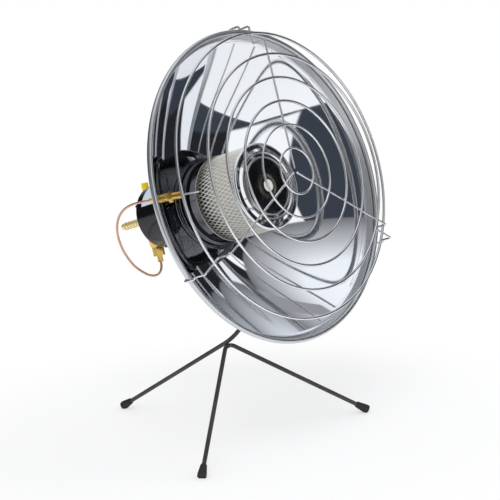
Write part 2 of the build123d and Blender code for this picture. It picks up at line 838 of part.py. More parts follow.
# Valve body: turned brass with a port boss front and back, a bonnet on top and a cone below
bonnet_inside = bonnet_top - bonnet_roof
stem_bore = stem_radius + stem_clearance
with BuildPart() as valve_body:
    turn(
        valve_frame,
        [
            (0, valve_cone_bottom),
            (valve_cone_radius, valve_cone_bottom),
            (valve_radius, valve_bottom),
            (valve_radius, valve_top),
            (bonnet_radius, valve_top),
            (bonnet_radius, bonnet_top),
            (0, bonnet_top),
        ],
    )
    outlet_plane = Plane(head_point(0, 0, valve_axial), x_dir=head.x_dir, z_dir=head.z_dir)
    inlet_plane = Plane(head_point(0, inlet_rise, valve_axial), x_dir=head.x_dir, z_dir=-head.z_dir)
    disc(outlet_plane, port_boss_radius, port_boss_reach)
    disc(inlet_plane, port_boss_radius, port_boss_reach)
    turn(
        valve_frame,
        [
            (0, stem_bore_bottom),
            (stem_bore, stem_bore_bottom),
            (stem_bore, chamber_floor),
            (chamber_radius, chamber_floor),
            (chamber_radius, bonnet_inside),
            (stem_bore, bonnet_inside),
            (stem_bore, bonnet_top + overrun),
            (0, bonnet_top + overrun),
        ],
        Mode.SUBTRACT,
    )
    turn(
        valve_frame,
        [
            (0, valve_cone_bottom - overrun),
            (magnet_radius + screw_clearance, valve_cone_bottom - overrun),
            (magnet_radius + screw_clearance, valve_cone_bottom + magnet_depth),
            (0, valve_cone_bottom + magnet_depth),
        ],
        Mode.SUBTRACT,
    )
    disc(outlet_plane, port_bore_radius, port_boss_reach + overrun, Mode.SUBTRACT)
    disc(inlet_plane, port_bore_radius, port_boss_reach + overrun, Mode.SUBTRACT)
keep(valve_body, "valve_body")

# Magnet unit: holds the valve open while the thermocouple is hot
magnet_plane = Plane(
    valve_frame.origin + valve_up * valve_cone_bottom, x_dir=valve_frame.x_dir, z_dir=valve_up
)
with BuildPart() as magnet_unit:
    disc(magnet_plane, magnet_radius, magnet_depth - screw_clearance)
keep(magnet_unit, "magnet_unit")

magnet_nut_bottom = valve_cone_bottom - magnet_nut_height
lead_nut_bottom = magnet_nut_bottom - lead_nut_height - lead_flange_height
magnet_nut_plane = Plane(
    valve_frame.origin + valve_up * magnet_nut_bottom, x_dir=valve_frame.x_dir, z_dir=valve_up
)
with BuildPart() as magnet_nut:
    hexagon(magnet_nut_plane, magnet_nut_flats, magnet_nut_height)
keep(magnet_nut, "magnet_nut")

# Thermocouple nut: a small hexagon over a round flange where the copper lead comes out
lead_flange_plane = Plane(
    valve_frame.origin + valve_up * lead_nut_bottom, x_dir=valve_frame.x_dir, z_dir=valve_up
)
lead_hex_plane = lead_flange_plane.offset(lead_flange_height)
with BuildPart() as thermocouple_nut:
    disc(lead_flange_plane, lead_flange_radius, lead_flange_height)
    hexagon(lead_hex_plane, lead_nut_flats, lead_nut_height)
keep(thermocouple_nut, "thermocouple_nut")

# Outlet nipple: joins the valve to the injector through the rear cover
nipple_start = valve_axial + port_boss_reach
cover_rear = housing_rear - cover_thickness
nipple_hex_plane = Plane(head_point(0, 0, nipple_start), x_dir=head.x_dir, z_dir=head.z_dir)
with BuildPart() as outlet_nipple:
    hexagon(nipple_hex_plane, nipple_flats, cover_rear - nipple_start)
    disc(nipple_hex_plane, nipple_thread_radius, nipple_front - nipple_start)
    disc(nipple_hex_plane, port_bore_radius, nipple_front - nipple_start + overrun, Mode.SUBTRACT)
keep(outlet_nipple, "outlet_nipple")

lock_nut_plane = Plane(head_point(0, 0, housing_rear), x_dir=head.x_dir, z_dir=head.z_dir)
with BuildPart() as nipple_lock_nut:
    hexagon(lock_nut_plane, nut_flats, nut_height)
    disc(lock_nut_plane, nipple_thread_radius, nut_height + overrun, Mode.SUBTRACT)
keep(nipple_lock_nut, "nipple_lock_nut")

injector_front = nipple_front + injector_length
with BuildPart() as injector:
    turn(
        head,
        [
            (injector_bore_radius, nipple_front),
            (injector_radius, nipple_front),
            (injector_radius, injector_front - injector_cone_length),
            (injector_tip_radius, injector_front),
            (injector_bore_radius, injector_front),
        ],
    )
keep(injector, "injector")

# Hose tail: a hexagon, a plain neck and barbs for an 8 mm gas hose
barbs_start = hose_hex_length + hose_neck_length
barb_outline = [(hose_bore_radius, 0), (hose_neck_radius, 0), (hose_neck_radius, barbs_start)]
for barb_number in range(hose_barb_count):
    barb_start = barbs_start + barb_number * hose_barb_spacing
    barb_outline.append((hose_barb_radius, barb_start))
    barb_outline.append((hose_neck_radius, barb_start + hose_barb_spacing))
barb_outline.append((hose_bore_radius, barbs_start + hose_barb_count * hose_barb_spacing))
with BuildPart() as hose_tail:
    hexagon(inlet_frame, hose_hex_flats, hose_hex_length)
    turn(inlet_frame, barb_outline)
    disc(inlet_frame, hose_bore_radius, hose_hex_length, Mode.SUBTRACT)
keep(hose_tail, "hose_tail")

# Button: a yellow cap on a steel stem, pressed down against a coil spring in the bonnet
button_bottom = button_top - button_height
button_plane = Plane(
    valve_frame.origin + valve_up * button_bottom, x_dir=valve_frame.x_dir, z_dir=valve_up
)
with BuildPart() as button_cap:
    disc(button_plane, button_radius, button_height)
    fillet(button_cap.faces().sort_by(frame_axis(valve_frame))[-1].edges(), button_edge_radius)
    disc(button_plane, stem_radius, button_socket_depth, Mode.SUBTRACT)
keep(button_cap, "button_cap")

collar_top = bonnet_inside - stem_collar_gap
collar_bottom = collar_top - stem_collar_thickness
stem_top = button_bottom + button_socket_depth
with BuildPart() as button_stem:
    turn(
        valve_frame,
        [
            (0, stem_bottom),
            (stem_radius, stem_bottom),
            (stem_radius, collar_bottom),
            (stem_collar_radius, collar_bottom),
            (stem_collar_radius, collar_top),
            (stem_radius, collar_top),
            (stem_radius, stem_top),
            (0, stem_top),
        ],
    )
keep(button_stem, "button_stem")

spring_bottom = chamber_floor + spring_wire / 2 + spring_end_gap
spring_height = collar_bottom - spring_bottom - spring_wire / 2 - spring_end_gap
spring_base = valve_frame.origin + valve_up * spring_bottom
with BuildPart() as button_spring:
    with BuildLine() as spring_path:
        Helix(
            pitch=spring_height / spring_turn_count,
            height=spring_height,
            radius=spring_radius,
            center=spring_base,
            direction=valve_up,
        )
    with BuildSketch(Plane(spring_path.line @ 0, z_dir=spring_path.line % 0)) as spring_section:
        Circle(spring_wire / 2)
    sweep(spring_section.sketch, path=spring_path.line, is_frenet=True)
keep(button_spring, "button_spring")

# Thermocouple holder: a threaded brass body through the dish's wall, square to it
with BuildPart() as probe_holder:
    turn(
        probe_frame,
        [
            (0, holder_tail_rear),
            (holder_tail_radius, holder_tail_rear),
            (holder_tail_radius, holder_rear),
            (holder_radius, holder_rear),
            (holder_radius, holder_front),
            (probe_radius, holder_front),
            (probe_radius, holder_front - holder_bore_depth),
            (0, holder_front - holder_bore_depth),
        ],
    )
keep(probe_holder, "probe_holder")

inner_nut_plane = probe_frame.offset(holder_nut_gap)
outer_nut_plane = probe_frame.offset(-dish_wall - holder_nut_gap - holder_nut_height)
with BuildPart() as probe_inner_nut:
    hexagon(inner_nut_plane, holder_nut_flats, holder_nut_height)
    disc(inner_nut_plane, holder_radius, holder_nut_height, Mode.SUBTRACT)
keep(probe_inner_nut, "probe_inner_nut")

with BuildPart() as probe_outer_nut:
    hexagon(outer_nut_plane, holder_nut_flats, holder_nut_height)
    disc(outer_nut_plane, holder_radius, holder_nut_height, Mode.SUBTRACT)
keep(probe_outer_nut, "probe_outer_nut")

with BuildPart() as flame_probe:
    disc(
        probe_frame.offset(holder_front - holder_bore_depth),
        probe_radius,
        probe_reach - holder_front + holder_bore_depth,
    )
    fillet(flame_probe.faces().sort_by(frame_axis(probe_frame))[-1].edges(), probe_radius / 2)
keep(flame_probe, "flame_probe")

# Thermocouple lead: one copper tube from the valve's nut round to the holder
# Its middle points are right, up and forward of the rim centre.
lead_start = valve_frame.origin + valve_up * lead_nut_bottom
lead_end = probe_frame.origin + probe_direction * holder_tail_rear
lead_middle = [
    (-12.0, -63.5, -202.5),
    (-21.0, -61.5, -206.5),
    (-29.5, -54.5, -208.5),
    (-39.5, -46.0, -208.0),
    (-48.5, -36.5, -204.5),
    (-57.5, -26.5, -199.5),
    (-66.0, -16.0, -192.5),
    (-74.0, -5.5, -184.0),
    (-80.5, 5.0, -173.5),
    (-85.0, 14.0, -161.0),
    (-87.5, 19.8, -147.0),
    (-87.8, 22.2, -132.5),
]
lead_points = [lead_start, lead_start - valve_up * lead_first_run]
for right_place, up_place, forward_place in lead_middle:
    lead_points.append(head_point(right_place, up_place, forward_place))
lead_points.append(lead_end - probe_direction * lead_last_run)
lead_points.append(lead_end)
lead_radii = []
for before, corner, after in zip(lead_points, lead_points[1:], lead_points[2:]):
    run_in = corner - before
    run_out = after - corner
    half_turn = radians(run_in.get_angle(run_out)) / 2
    lead_radii.append(lead_bend_share * min(run_in.length, run_out.length) / tan(half_turn))
print("thermocouple lead bend radii", [round(radius, 1) for radius in lead_radii])
with BuildPart() as thermocouple_lead:
    with BuildLine() as lead_path:
        FilletPolyline(*lead_points, radius=lead_radii)
    with BuildSketch(Plane(lead_path.line @ 0, z_dir=lead_path.line % 0)) as lead_section:
        Circle(lead_diameter / 2)
    sweep(lead_section.sketch, path=lead_path.line)
lead_length = lead_path.wire().length
lead_volume_share = thermocouple_lead.part.volume / (lead_section.sketch.area * lead_length)
print("thermocouple lead length", round(lead_length, 1), "volume share", round(lead_volume_share, 4))
keep(thermocouple_lead, "thermocouple_lead")

# Tilt bracket: a saddle under the housing with two cheeks round the rod's eye
hinge_plane = Plane(head_point(0, 0, 0), x_dir=-head.z_dir, z_dir=head.x_dir)
cheek_inner = eye_thickness / 2 + cheek_clearance
cheek_outer = cheek_inner + cheek_thickness
cheek_top = strap_bottom + bracket_strap / 2
with BuildPart() as tilt_bracket:
    strap_plane = Plane(
        head_point(0, housing_rise, bracket_rear), x_dir=head.x_dir, z_dir=head.z_dir
    )
    with BuildSketch(strap_plane) as strap_outline:
        Circle(saddle_radius + bracket_strap)
        Circle(saddle_radius, mode=Mode.SUBTRACT)
        with Locations((0, -saddle_radius)):
            Rectangle(bracket_width, saddle_radius, mode=Mode.INTERSECT)
    extrude(strap_outline.sketch, amount=bracket_front - bracket_rear)
    with BuildSketch(rivet_plane) as strap_holes:
        with Locations(*rivet_spots):
            Circle(rivet_radius + screw_clearance)
    extrude(strap_holes.sketch, amount=-2 * bracket_strap, both=True, mode=Mode.SUBTRACT)
    for side in (-1, 1):
        cheek_plane = hinge_plane.offset(side * (cheek_inner + cheek_outer) / 2)
        with BuildSketch(cheek_plane) as cheek_outline:
            with Locations((-pivot_axial, pivot_height)):
                Circle(cheek_radius)
            with Locations((-pivot_axial, (pivot_height + cheek_top) / 2)):
                Rectangle(2 * cheek_radius, cheek_top - pivot_height)
            with Locations((-pivot_axial, pivot_height)):
                Circle(pivot_bolt_radius + screw_clearance, mode=Mode.SUBTRACT)
        extrude(cheek_outline.sketch, amount=cheek_thickness / 2, both=True)
keep(tilt_bracket, "tilt_bracket")

# Bracket rivets go through the strap and the housing's wall, with a head on each side
rivet_grip = bracket_strap + label_gap + housing_wall
rivet_sink = rivet_head_radius ** 2 / (2 * housing_bore) + label_gap
rivet_inside_plane = rivet_plane.offset(-rivet_grip - rivet_sink)
with BuildPart() as bracket_rivets:
    with BuildSketch(rivet_plane) as rivet_heads:
        with Locations(*rivet_spots):
            Circle(rivet_head_radius)
    extrude(rivet_heads.sketch, amount=rivet_head_height)
    rivet_head_faces = bracket_rivets.faces().sort_by(frame_axis(rivet_plane))[-2:]
    fillet(rivet_head_faces.edges(), rivet_head_height / 2)
    with BuildSketch(rivet_plane) as rivet_shanks:
        with Locations(*rivet_spots):
            Circle(rivet_radius)
    extrude(rivet_shanks.sketch, amount=-rivet_grip - rivet_sink)
    with BuildSketch(rivet_inside_plane) as rivet_tails:
        with Locations(*rivet_spots):
            Circle(rivet_head_radius)
    extrude(rivet_tails.sketch, amount=-rivet_head_height)
keep(bracket_rivets, "bracket_rivets")

# Pivot bolt: runs across the cheeks and the eye, its head on the left and its wing nut on the right
bolt_left = -cheek_outer
bolt_right = cheek_outer + washer_thickness + wing_hub_length + bolt_overhang
pivot_left_plane = Plane(pivot + head.x_dir * bolt_left, x_dir=head.z_dir, z_dir=-head.x_dir)
pivot_right_plane = Plane(pivot + head.x_dir * bolt_left, x_dir=head.z_dir, z_dir=head.x_dir)
with BuildPart() as pivot_bolt:
    disc(pivot_left_plane, bolt_head_radius, bolt_head_height)
    fillet(pivot_bolt.faces().sort_by(Axis.X)[0].edges(), bolt_head_height / 2)
    disc(pivot_right_plane, pivot_bolt_radius, bolt_right - bolt_left)
keep(pivot_bolt, "pivot_bolt")

washer_plane = Plane(pivot + head.x_dir * cheek_outer, x_dir=head.z_dir, z_dir=head.x_dir)
with BuildPart() as pivot_washer:
    disc(washer_plane, washer_radius, washer_thickness)
    disc(washer_plane, pivot_bolt_radius + screw_clearance, washer_thickness, Mode.SUBTRACT)
keep(pivot_washer, "pivot_washer")

wing_start = cheek_outer + washer_thickness + wing_thread_gap
wing_plane = Plane(pivot + head.x_dir * wing_start, x_dir=head.z_dir, z_dir=head.x_dir)
with BuildPart() as wing_nut:
    disc(wing_plane, wing_hub_radius, wing_hub_length)
    wing_outline_plane = Plane(wing_plane.origin, x_dir=head.z_dir, z_dir=head.y_dir)
    with BuildSketch(wing_outline_plane) as wing_outline:
        with BuildLine():
            left_tip = Line((-wing_span / 2, wing_height), (-wing_span / 3, wing_height))
            left_flank = Line(left_tip @ 1, (-wing_hub_radius / 2, wing_hub_length / 2))
            bridge_line = Line(left_flank @ 1, (wing_hub_radius / 2, wing_hub_length / 2))
            right_flank = Line(bridge_line @ 1, (wing_span / 3, wing_height))
            right_tip = Line(right_flank @ 1, (wing_span / 2, wing_height))
            right_side = Line(right_tip @ 1, (wing_hub_radius, 0))
            base_line = Line(right_side @ 1, (-wing_hub_radius, 0))
            Line(base_line @ 1, (-wing_span / 2, wing_height))
        make_face()
    extrude(wing_outline.sketch, amount=wing_thickness / 2, both=True)
    disc(wing_plane, pivot_bolt_radius + wing_thread_gap, wing_height, Mode.SUBTRACT)
keep(wing_nut, "wing_nut")

# Stand rod: one bent rod from the rear foot up to the flat eye on the pivot
side_plane = Plane(origin=(0, hub_y, 0), x_dir=(0, -1, 0), z_dir=(-1, 0, 0))
rear_rod_end = foot_half - foot_bottom_wall
leg_foot = (
    -rear_foot_reach - rear_rod_end * slope_cos,
    foot_centre_height - rear_rod_end * slope_sin,
)
leg_top = (-lower_bend_start, bend_start_height)
with BuildPart() as stand_rod:
    with BuildLine(side_plane) as rod_path:
        leg_line = Line(leg_foot, leg_top)
        lower_bend = JernArc(leg_line @ 1, leg_line % 1, lower_bend_radius, lower_bend_angle)
        upper_bend = JernArc(lower_bend @ 1, lower_bend % 1, upper_bend_radius, upper_bend_angle)
        Line(upper_bend @ 1, (upper_bend @ 1) + (upper_bend % 1) * neck_length)
    with BuildSketch(Plane(rod_path.line @ 0, z_dir=rod_path.line % 0)) as rod_section:
        Circle(rod_diameter / 2)
    sweep(rod_section.sketch, path=rod_path.line)
    eye_plane = Plane(pivot - head.x_dir * eye_thickness / 2, x_dir=head.z_dir, z_dir=head.x_dir)
    disc(eye_plane, eye_radius, eye_thickness)
    eye_bore = pivot_bolt_radius + pivot_running_clearance
    disc(eye_plane.offset(-overrun), eye_bore, eye_thickness + 2 * overrun, Mode.SUBTRACT)
keep(stand_rod, "stand_rod")

# Front legs: one rod bent into a V and welded under the stand rod, as two nodes that meet there
weld_height = bend_start_height + (lower_bend_start - weld_place) * tan(radians(leg_slope))
vee_top = Vector(0, hub_y + weld_place, weld_height)
front_foot_left = Vector(-front_foot_spread, hub_y - front_foot_reach, foot_centre_height)
front_foot_right = Vector(front_foot_spread, hub_y - front_foot_reach, foot_centre_height)
vee_height = hypot(front_foot_reach + weld_place, weld_height - foot_centre_height)
vee_half_angle = atan2(front_foot_spread, vee_height)
vee_radius = (rod_diameter - saddle_sink) / (1 / sin(vee_half_angle) - 1)
for side, foot_point, name in (
    (-1, front_foot_left, "front_left_leg"),
    (1, front_foot_right, "front_right_leg"),
):
    leg_direction = (foot_point - vee_top).normalized()
    leg_end = foot_point + leg_direction * (foot_half - foot_bottom_wall)
    other_foot = front_foot_right if side < 0 else front_foot_left
    other_direction = (other_foot - vee_top).normalized()
    other_end = vee_top + other_direction * (2 * vee_radius)
    with BuildPart() as front_leg:
        with BuildLine() as leg_path:
            FilletPolyline(leg_end, vee_top, other_end, radius=vee_radius)
        with BuildSketch(Plane(leg_path.line @ 0, z_dir=leg_path.line % 0)) as leg_section:
            Circle(rod_diameter / 2)
        sweep(leg_section.sketch, path=leg_path.line)
        split(bisect_by=Plane.YZ, keep=Keep.TOP if side > 0 else Keep.BOTTOM)
        add(stand_rod.part, mode=Mode.SUBTRACT)
    keep(front_leg, name)


def rubber_foot(foot_point, leg_direction, name):
    """A tapered rubber foot on a rod's end, cut flat where it stands."""
    foot_frame = Plane(foot_point - leg_direction * foot_half, z_dir=leg_direction)
    socket = foot_length - foot_bottom_wall
    with BuildPart() as foot:
        turn(
            foot_frame,
            [
                (0, 0),
                (foot_top_radius, 0),
                (foot_end_radius, socket),
                (foot_end_radius, foot_length),
                (0, foot_length),
            ],
        )
        socket_radius = rod_diameter / 2 + foot_clearance
        disc(foot_frame.offset(-overrun), socket_radius, socket + overrun, Mode.SUBTRACT)
        split(bisect_by=Plane.XY, keep=Keep.TOP)
    keep(foot, name)


rear_foot_point = Vector(0, hub_y + rear_foot_reach, foot_centre_height)
rubber_foot(rear_foot_point, Vector(0, slope_cos, -slope_sin), "rear_foot")
rubber_foot(front_foot_left, (front_foot_left - vee_top).normalized(), "front_left_foot")
rubber_foot(front_foot_right, (front_foot_right - vee_top).normalized(), "front_right_foot")

print("hub y", round(hub_y, 2), "pivot", pivot, "dish centre", dish_centre)
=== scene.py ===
"""Visual model of a gas parabolic heater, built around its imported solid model.

The chromed dish, the burner's expanded metal and cap, the copper lead, the button's coil and the
welds are modelled here. The other solids keep their shape and get a finish. Sizes are in
millimetres and angles in degrees, unless a comment or docstring says otherwise.
"""

from __future__ import annotations

import logging
import math
from dataclasses import dataclass
from enum import Enum
from typing import Sequence

import bpy
from mathutils import Matrix, Vector

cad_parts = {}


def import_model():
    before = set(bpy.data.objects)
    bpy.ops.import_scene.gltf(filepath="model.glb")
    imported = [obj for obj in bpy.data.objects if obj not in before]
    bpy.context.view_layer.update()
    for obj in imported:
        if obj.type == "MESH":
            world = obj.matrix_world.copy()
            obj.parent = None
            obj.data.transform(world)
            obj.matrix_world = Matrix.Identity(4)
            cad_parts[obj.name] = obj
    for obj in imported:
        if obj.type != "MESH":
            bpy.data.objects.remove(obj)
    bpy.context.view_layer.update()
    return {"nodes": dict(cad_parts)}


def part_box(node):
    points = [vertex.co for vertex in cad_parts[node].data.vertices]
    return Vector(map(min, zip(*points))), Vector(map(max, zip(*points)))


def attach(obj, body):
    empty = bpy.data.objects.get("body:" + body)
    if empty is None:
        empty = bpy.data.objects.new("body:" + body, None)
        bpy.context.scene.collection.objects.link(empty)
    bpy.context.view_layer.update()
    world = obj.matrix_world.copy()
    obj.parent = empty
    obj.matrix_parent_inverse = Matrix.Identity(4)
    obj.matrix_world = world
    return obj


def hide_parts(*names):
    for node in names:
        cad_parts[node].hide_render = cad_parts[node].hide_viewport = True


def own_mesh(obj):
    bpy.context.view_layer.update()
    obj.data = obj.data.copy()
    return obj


LOG = logging.getLogger("heater")

MM = 0.001
SEAM = 1e-6  # metres under which the points of a closed section are merged
LEVEL = 1e-5  # metres of height that still count as level
NO_TURN = 1e-9  # square metres that still count as no turn about the axis
RELIEF = 0.0003  # metres of height under most bumps
ROUND_EDGE = 60.0  # the sharpest edge that is shaded round on a bead
WIRE_EDGE = 50.0  # and on a thin wire

Point = tuple[float, float, float]
Colour = tuple[float, float, float]
Limits = tuple[float, float]
Texture = tuple[float, float]  # a noise's scale and how many finer layers it has
Outline = Sequence[tuple[float, float]]
Piece = bpy.types.Object
Material = bpy.types.Material
Socket = bpy.types.NodeSocket
Stops = Sequence[tuple[float, Sequence[float]]]


class Body(Enum):
    """The moving bodies that carry new pieces."""

    STAND = "stand"
    HEAD = "head"


# Modelling tools


def deselect() -> None:
    """Deselect every object."""
    bpy.ops.object.select_all(action="DESELECT")


def pick(piece: Piece) -> None:
    """Select one object alone and make it the active one."""
    deselect()
    piece.select_set(True)
    bpy.context.view_layer.objects.active = piece


def edit(everything: bool = True) -> None:
    """Edit the active mesh, with all of it selected or with its selection as it stands.

    Args:
        everything: Whether all of the mesh is selected first.
    """
    bpy.ops.object.mode_set(mode="EDIT")
    if everything:
        bpy.ops.mesh.select_all(action="SELECT")


def leave_edit() -> None:
    """Go back to object mode."""
    bpy.ops.object.mode_set(mode="OBJECT")


def named(name: str) -> Piece:
    """The active object, after it and its data are given a name.

    Args:
        name: The name of both.

    Returns:
        The object.
    """
    piece = bpy.context.object
    piece.name = name
    piece.data.name = name
    return piece


def linked(name: str, data: bpy.types.ID) -> Piece:
    """A new object in the scene with the given data.

    Args:
        name: The object's name.
        data: Its mesh, curve, light or camera.

    Returns:
        The object.
    """
    piece = bpy.data.objects.new(name, data)
    bpy.context.scene.collection.objects.link(piece)
    return piece


def place(piece: Piece, matrix: Matrix) -> None:
    """Move a piece's mesh to its place and leave its object at the origin.

    Args:
        piece: The object to place.
        matrix: The frame that the piece was modelled in, in metres.
    """
    pick(piece)
    piece.matrix_world = matrix
    bpy.ops.object.transform_apply(location=True, rotation=True, scale=True)


def smooth(piece: Piece, angle: float) -> None:
    """Shade a piece smooth, with sharp edges over an angle."""
    pick(piece)
    bpy.ops.object.shade_smooth_by_angle(angle=math.radians(angle))


def settle(piece: Piece, angle: float, matrix: Matrix) -> None:
    """Shade a piece smooth up to an angle and move its mesh to its place."""
    smooth(piece, angle)
    place(piece, matrix)


def recalculate(piece: Piece, merge: float = 0.0) -> None:
    """Merge a piece's doubles and turn its faces outwards.

    Args:
        piece: The object to clean.
        merge: The distance under which points are merged, in metres, or zero for none.
    """
    pick(piece)
    edit()
    if merge:
        bpy.ops.mesh.remove_doubles(threshold=merge)
    bpy.ops.mesh.normals_make_consistent(inside=False)
    leave_edit()


def apply_modifier(piece: Piece, kind: str, **settings: object) -> None:
    """Add a modifier with its settings and apply it.

    Args:
        piece: The object that gets the modifier.
        kind: The modifier's type.
        **settings: The modifier's properties.
    """
    pick(piece)
    modifier = piece.modifiers.new(kind.title(), kind)
    for name, value in settings.items():
        setattr(modifier, name, value)
    bpy.ops.object.modifier_apply(modifier=modifier.name)


def join(pieces: Sequence[Piece], name: str) -> Piece:
    """Join several objects into the first one.

    Args:
        pieces: The objects to join.
        name: The name of the joined object.

    Returns:
        The joined object.
    """
    pick(pieces[0])
    for piece in pieces:
        piece.select_set(True)
    bpy.ops.object.join()
    return named(name)


def turned(name: str, outline: Outline, segments: int) -> Piece:
    """Draw a circle through an outline, ring by ring, about Z.

    Args:
        name: The new object's name.
        outline: (radius, height) points. A last point equal to the first closes it.
        segments: How many points each ring has.

    Returns:
        The new object, at the origin.
    """
    deselect()
    radius, height = outline[0]
    bpy.ops.mesh.primitive_circle_add(vertices=segments, radius=radius * MM)
    piece = named(name)
    edit()
    bpy.ops.transform.translate(value=(0, 0, height * MM))
    for next_radius, next_height in outline[1:]:
        rise = (next_height - height) * MM
        bpy.ops.mesh.extrude_region_move(TRANSFORM_OT_translate={"value": (0, 0, rise)})
        ratio = next_radius / radius
        bpy.ops.transform.resize(value=(ratio, ratio, 1), center_override=(0, 0, 0))
        radius, height = next_radius, next_height
    leave_edit()
    return piece


def ball(name: str, subdivisions: int, radius: float, shape: Point) -> Piece:
    """A stretched ball, from which a drop of weld is shaped.

    Args:
        name: The new object's name.
        subdivisions: How finely the ball is divided.
        radius: Its radius before it is stretched.
        shape: How far it is stretched along each axis.

    Returns:
        The new object, at the origin.
    """
    deselect()
    bpy.ops.mesh.primitive_ico_sphere_add(subdivisions=subdivisions, radius=radius * MM)
    edit()
    bpy.ops.transform.resize(value=shape, center_override=(0, 0, 0))
    leave_edit()
    return named(name)


def shares(count: int) -> list[float]:
    """Even steps from zero to one."""
    return [step / count for step in range(count + 1)]


def arc(centre: tuple[float, float], radius: float, start: float, end: float, steps: int) -> list:
    """Points along an arc.

    Args:
        centre: The arc's centre.
        radius: Its radius.
        start: Its first angle.
        end: Its last angle.
        steps: How many runs it has.

    Returns:
        The arc's points, from start to end.
    """
    angles = [math.radians(start + (end - start) * share) for share in shares(steps)]
    across, up = centre
    return [(across + radius * math.cos(a), up + radius * math.sin(a)) for a in angles]


def rounded(points: Outline, radius: float, steps: int = 4) -> list:
    """An open outline with its corners rounded.

    Args:
        points: The outline's corners.
        radius: The corners' radius, less where two corners are near each other.
        steps: How many runs each corner gets.

    Returns:
        The rounded outline's points.
    """
    least_slope = 0.01
    most_of_side = 0.48
    result = [tuple(points[0])]
    for before, corner, after in zip(points, points[1:], points[2:]):
        middle = Vector(corner)
        back = Vector(before) - middle
        ahead = Vector(after) - middle
        reach = radius / max(math.tan(back.angle(ahead) / 2), least_slope)
        reach = min(reach, most_of_side * back.length, most_of_side * ahead.length)
        start = middle + back.normalized() * reach
        end = middle + ahead.normalized() * reach
        for share in shares(steps):
            way = start * (1 - share) ** 2 + middle * 2 * share * (1 - share) + end * share**2
            result.append((way.x, way.y))
    result.append(tuple(points[-1]))
    return result


def pressed(outline: Outline, sheet: float) -> list:
    """The closed section of a sheet that is pressed to an outline.

    Args:
        outline: The sheet's outer side, which has the sheet on its left.
        sheet: The sheet's thickness.

    Returns:
        The section's points, the first one again at the end.
    """
    inside = []
    for index, point in enumerate(outline):
        before = Vector(outline[max(index - 1, 0)])
        after = Vector(outline[min(index + 1, len(outline) - 1)])
        way = (after - before).normalized()
        inside.append((point[0] - way.y * sheet, point[1] + way.x * sheet))
    return list(outline) + inside[::-1] + [tuple(outline[0])]


# The heater's frame


@dataclass(frozen=True)
class HeadFrame:
    """The dish's own frame: right, up in the rim's plane, and forward out of the dish.

    It also holds what several pieces share: the dish's surface and the valve's place.
    """

    tilt: float = 17.1
    centre: Point = (0.0, -91.67, 302.232)
    focal_length: float = 81.0
    depth: float = 100.0
    valve_turn: float = 5.4
    valve_place: float = -199.2

    def matrix(self, right: float = 0.0, up: float = 0.0, forward: float = 0.0) -> Matrix:
        """The frame at a point of the head.

        Args:
            right: How far the point lies to the right of the rim's centre.
            up: How far up in the rim's plane.
            forward: How far out of the dish.

        Returns:
            The matrix, in metres, whose Z is the dish's forward axis.
        """
        angle = math.radians(self.tilt)
        across = Vector((1, 0, 0))
        rise = Vector((0, math.sin(angle), math.cos(angle)))
        facing = Vector((0, -math.cos(angle), math.sin(angle)))
        origin = Vector(self.centre) + across * right + rise * up + facing * forward
        matrix = Matrix((across, rise, facing)).transposed().to_4x4()
        matrix.translation = origin * MM
        return matrix

    def surface(self, radius: float) -> float:
        """How far forward the dish's inner surface lies at a radius."""
        return radius**2 / (4 * self.focal_length) - self.depth

    def valve_up(self) -> Vector:
        """The way up along the valve's stem, as right, up and forward."""
        turn = math.radians(self.valve_turn)
        return Vector((math.sin(turn), math.cos(turn), 0.0))


HEAD = HeadFrame()


# Finishes


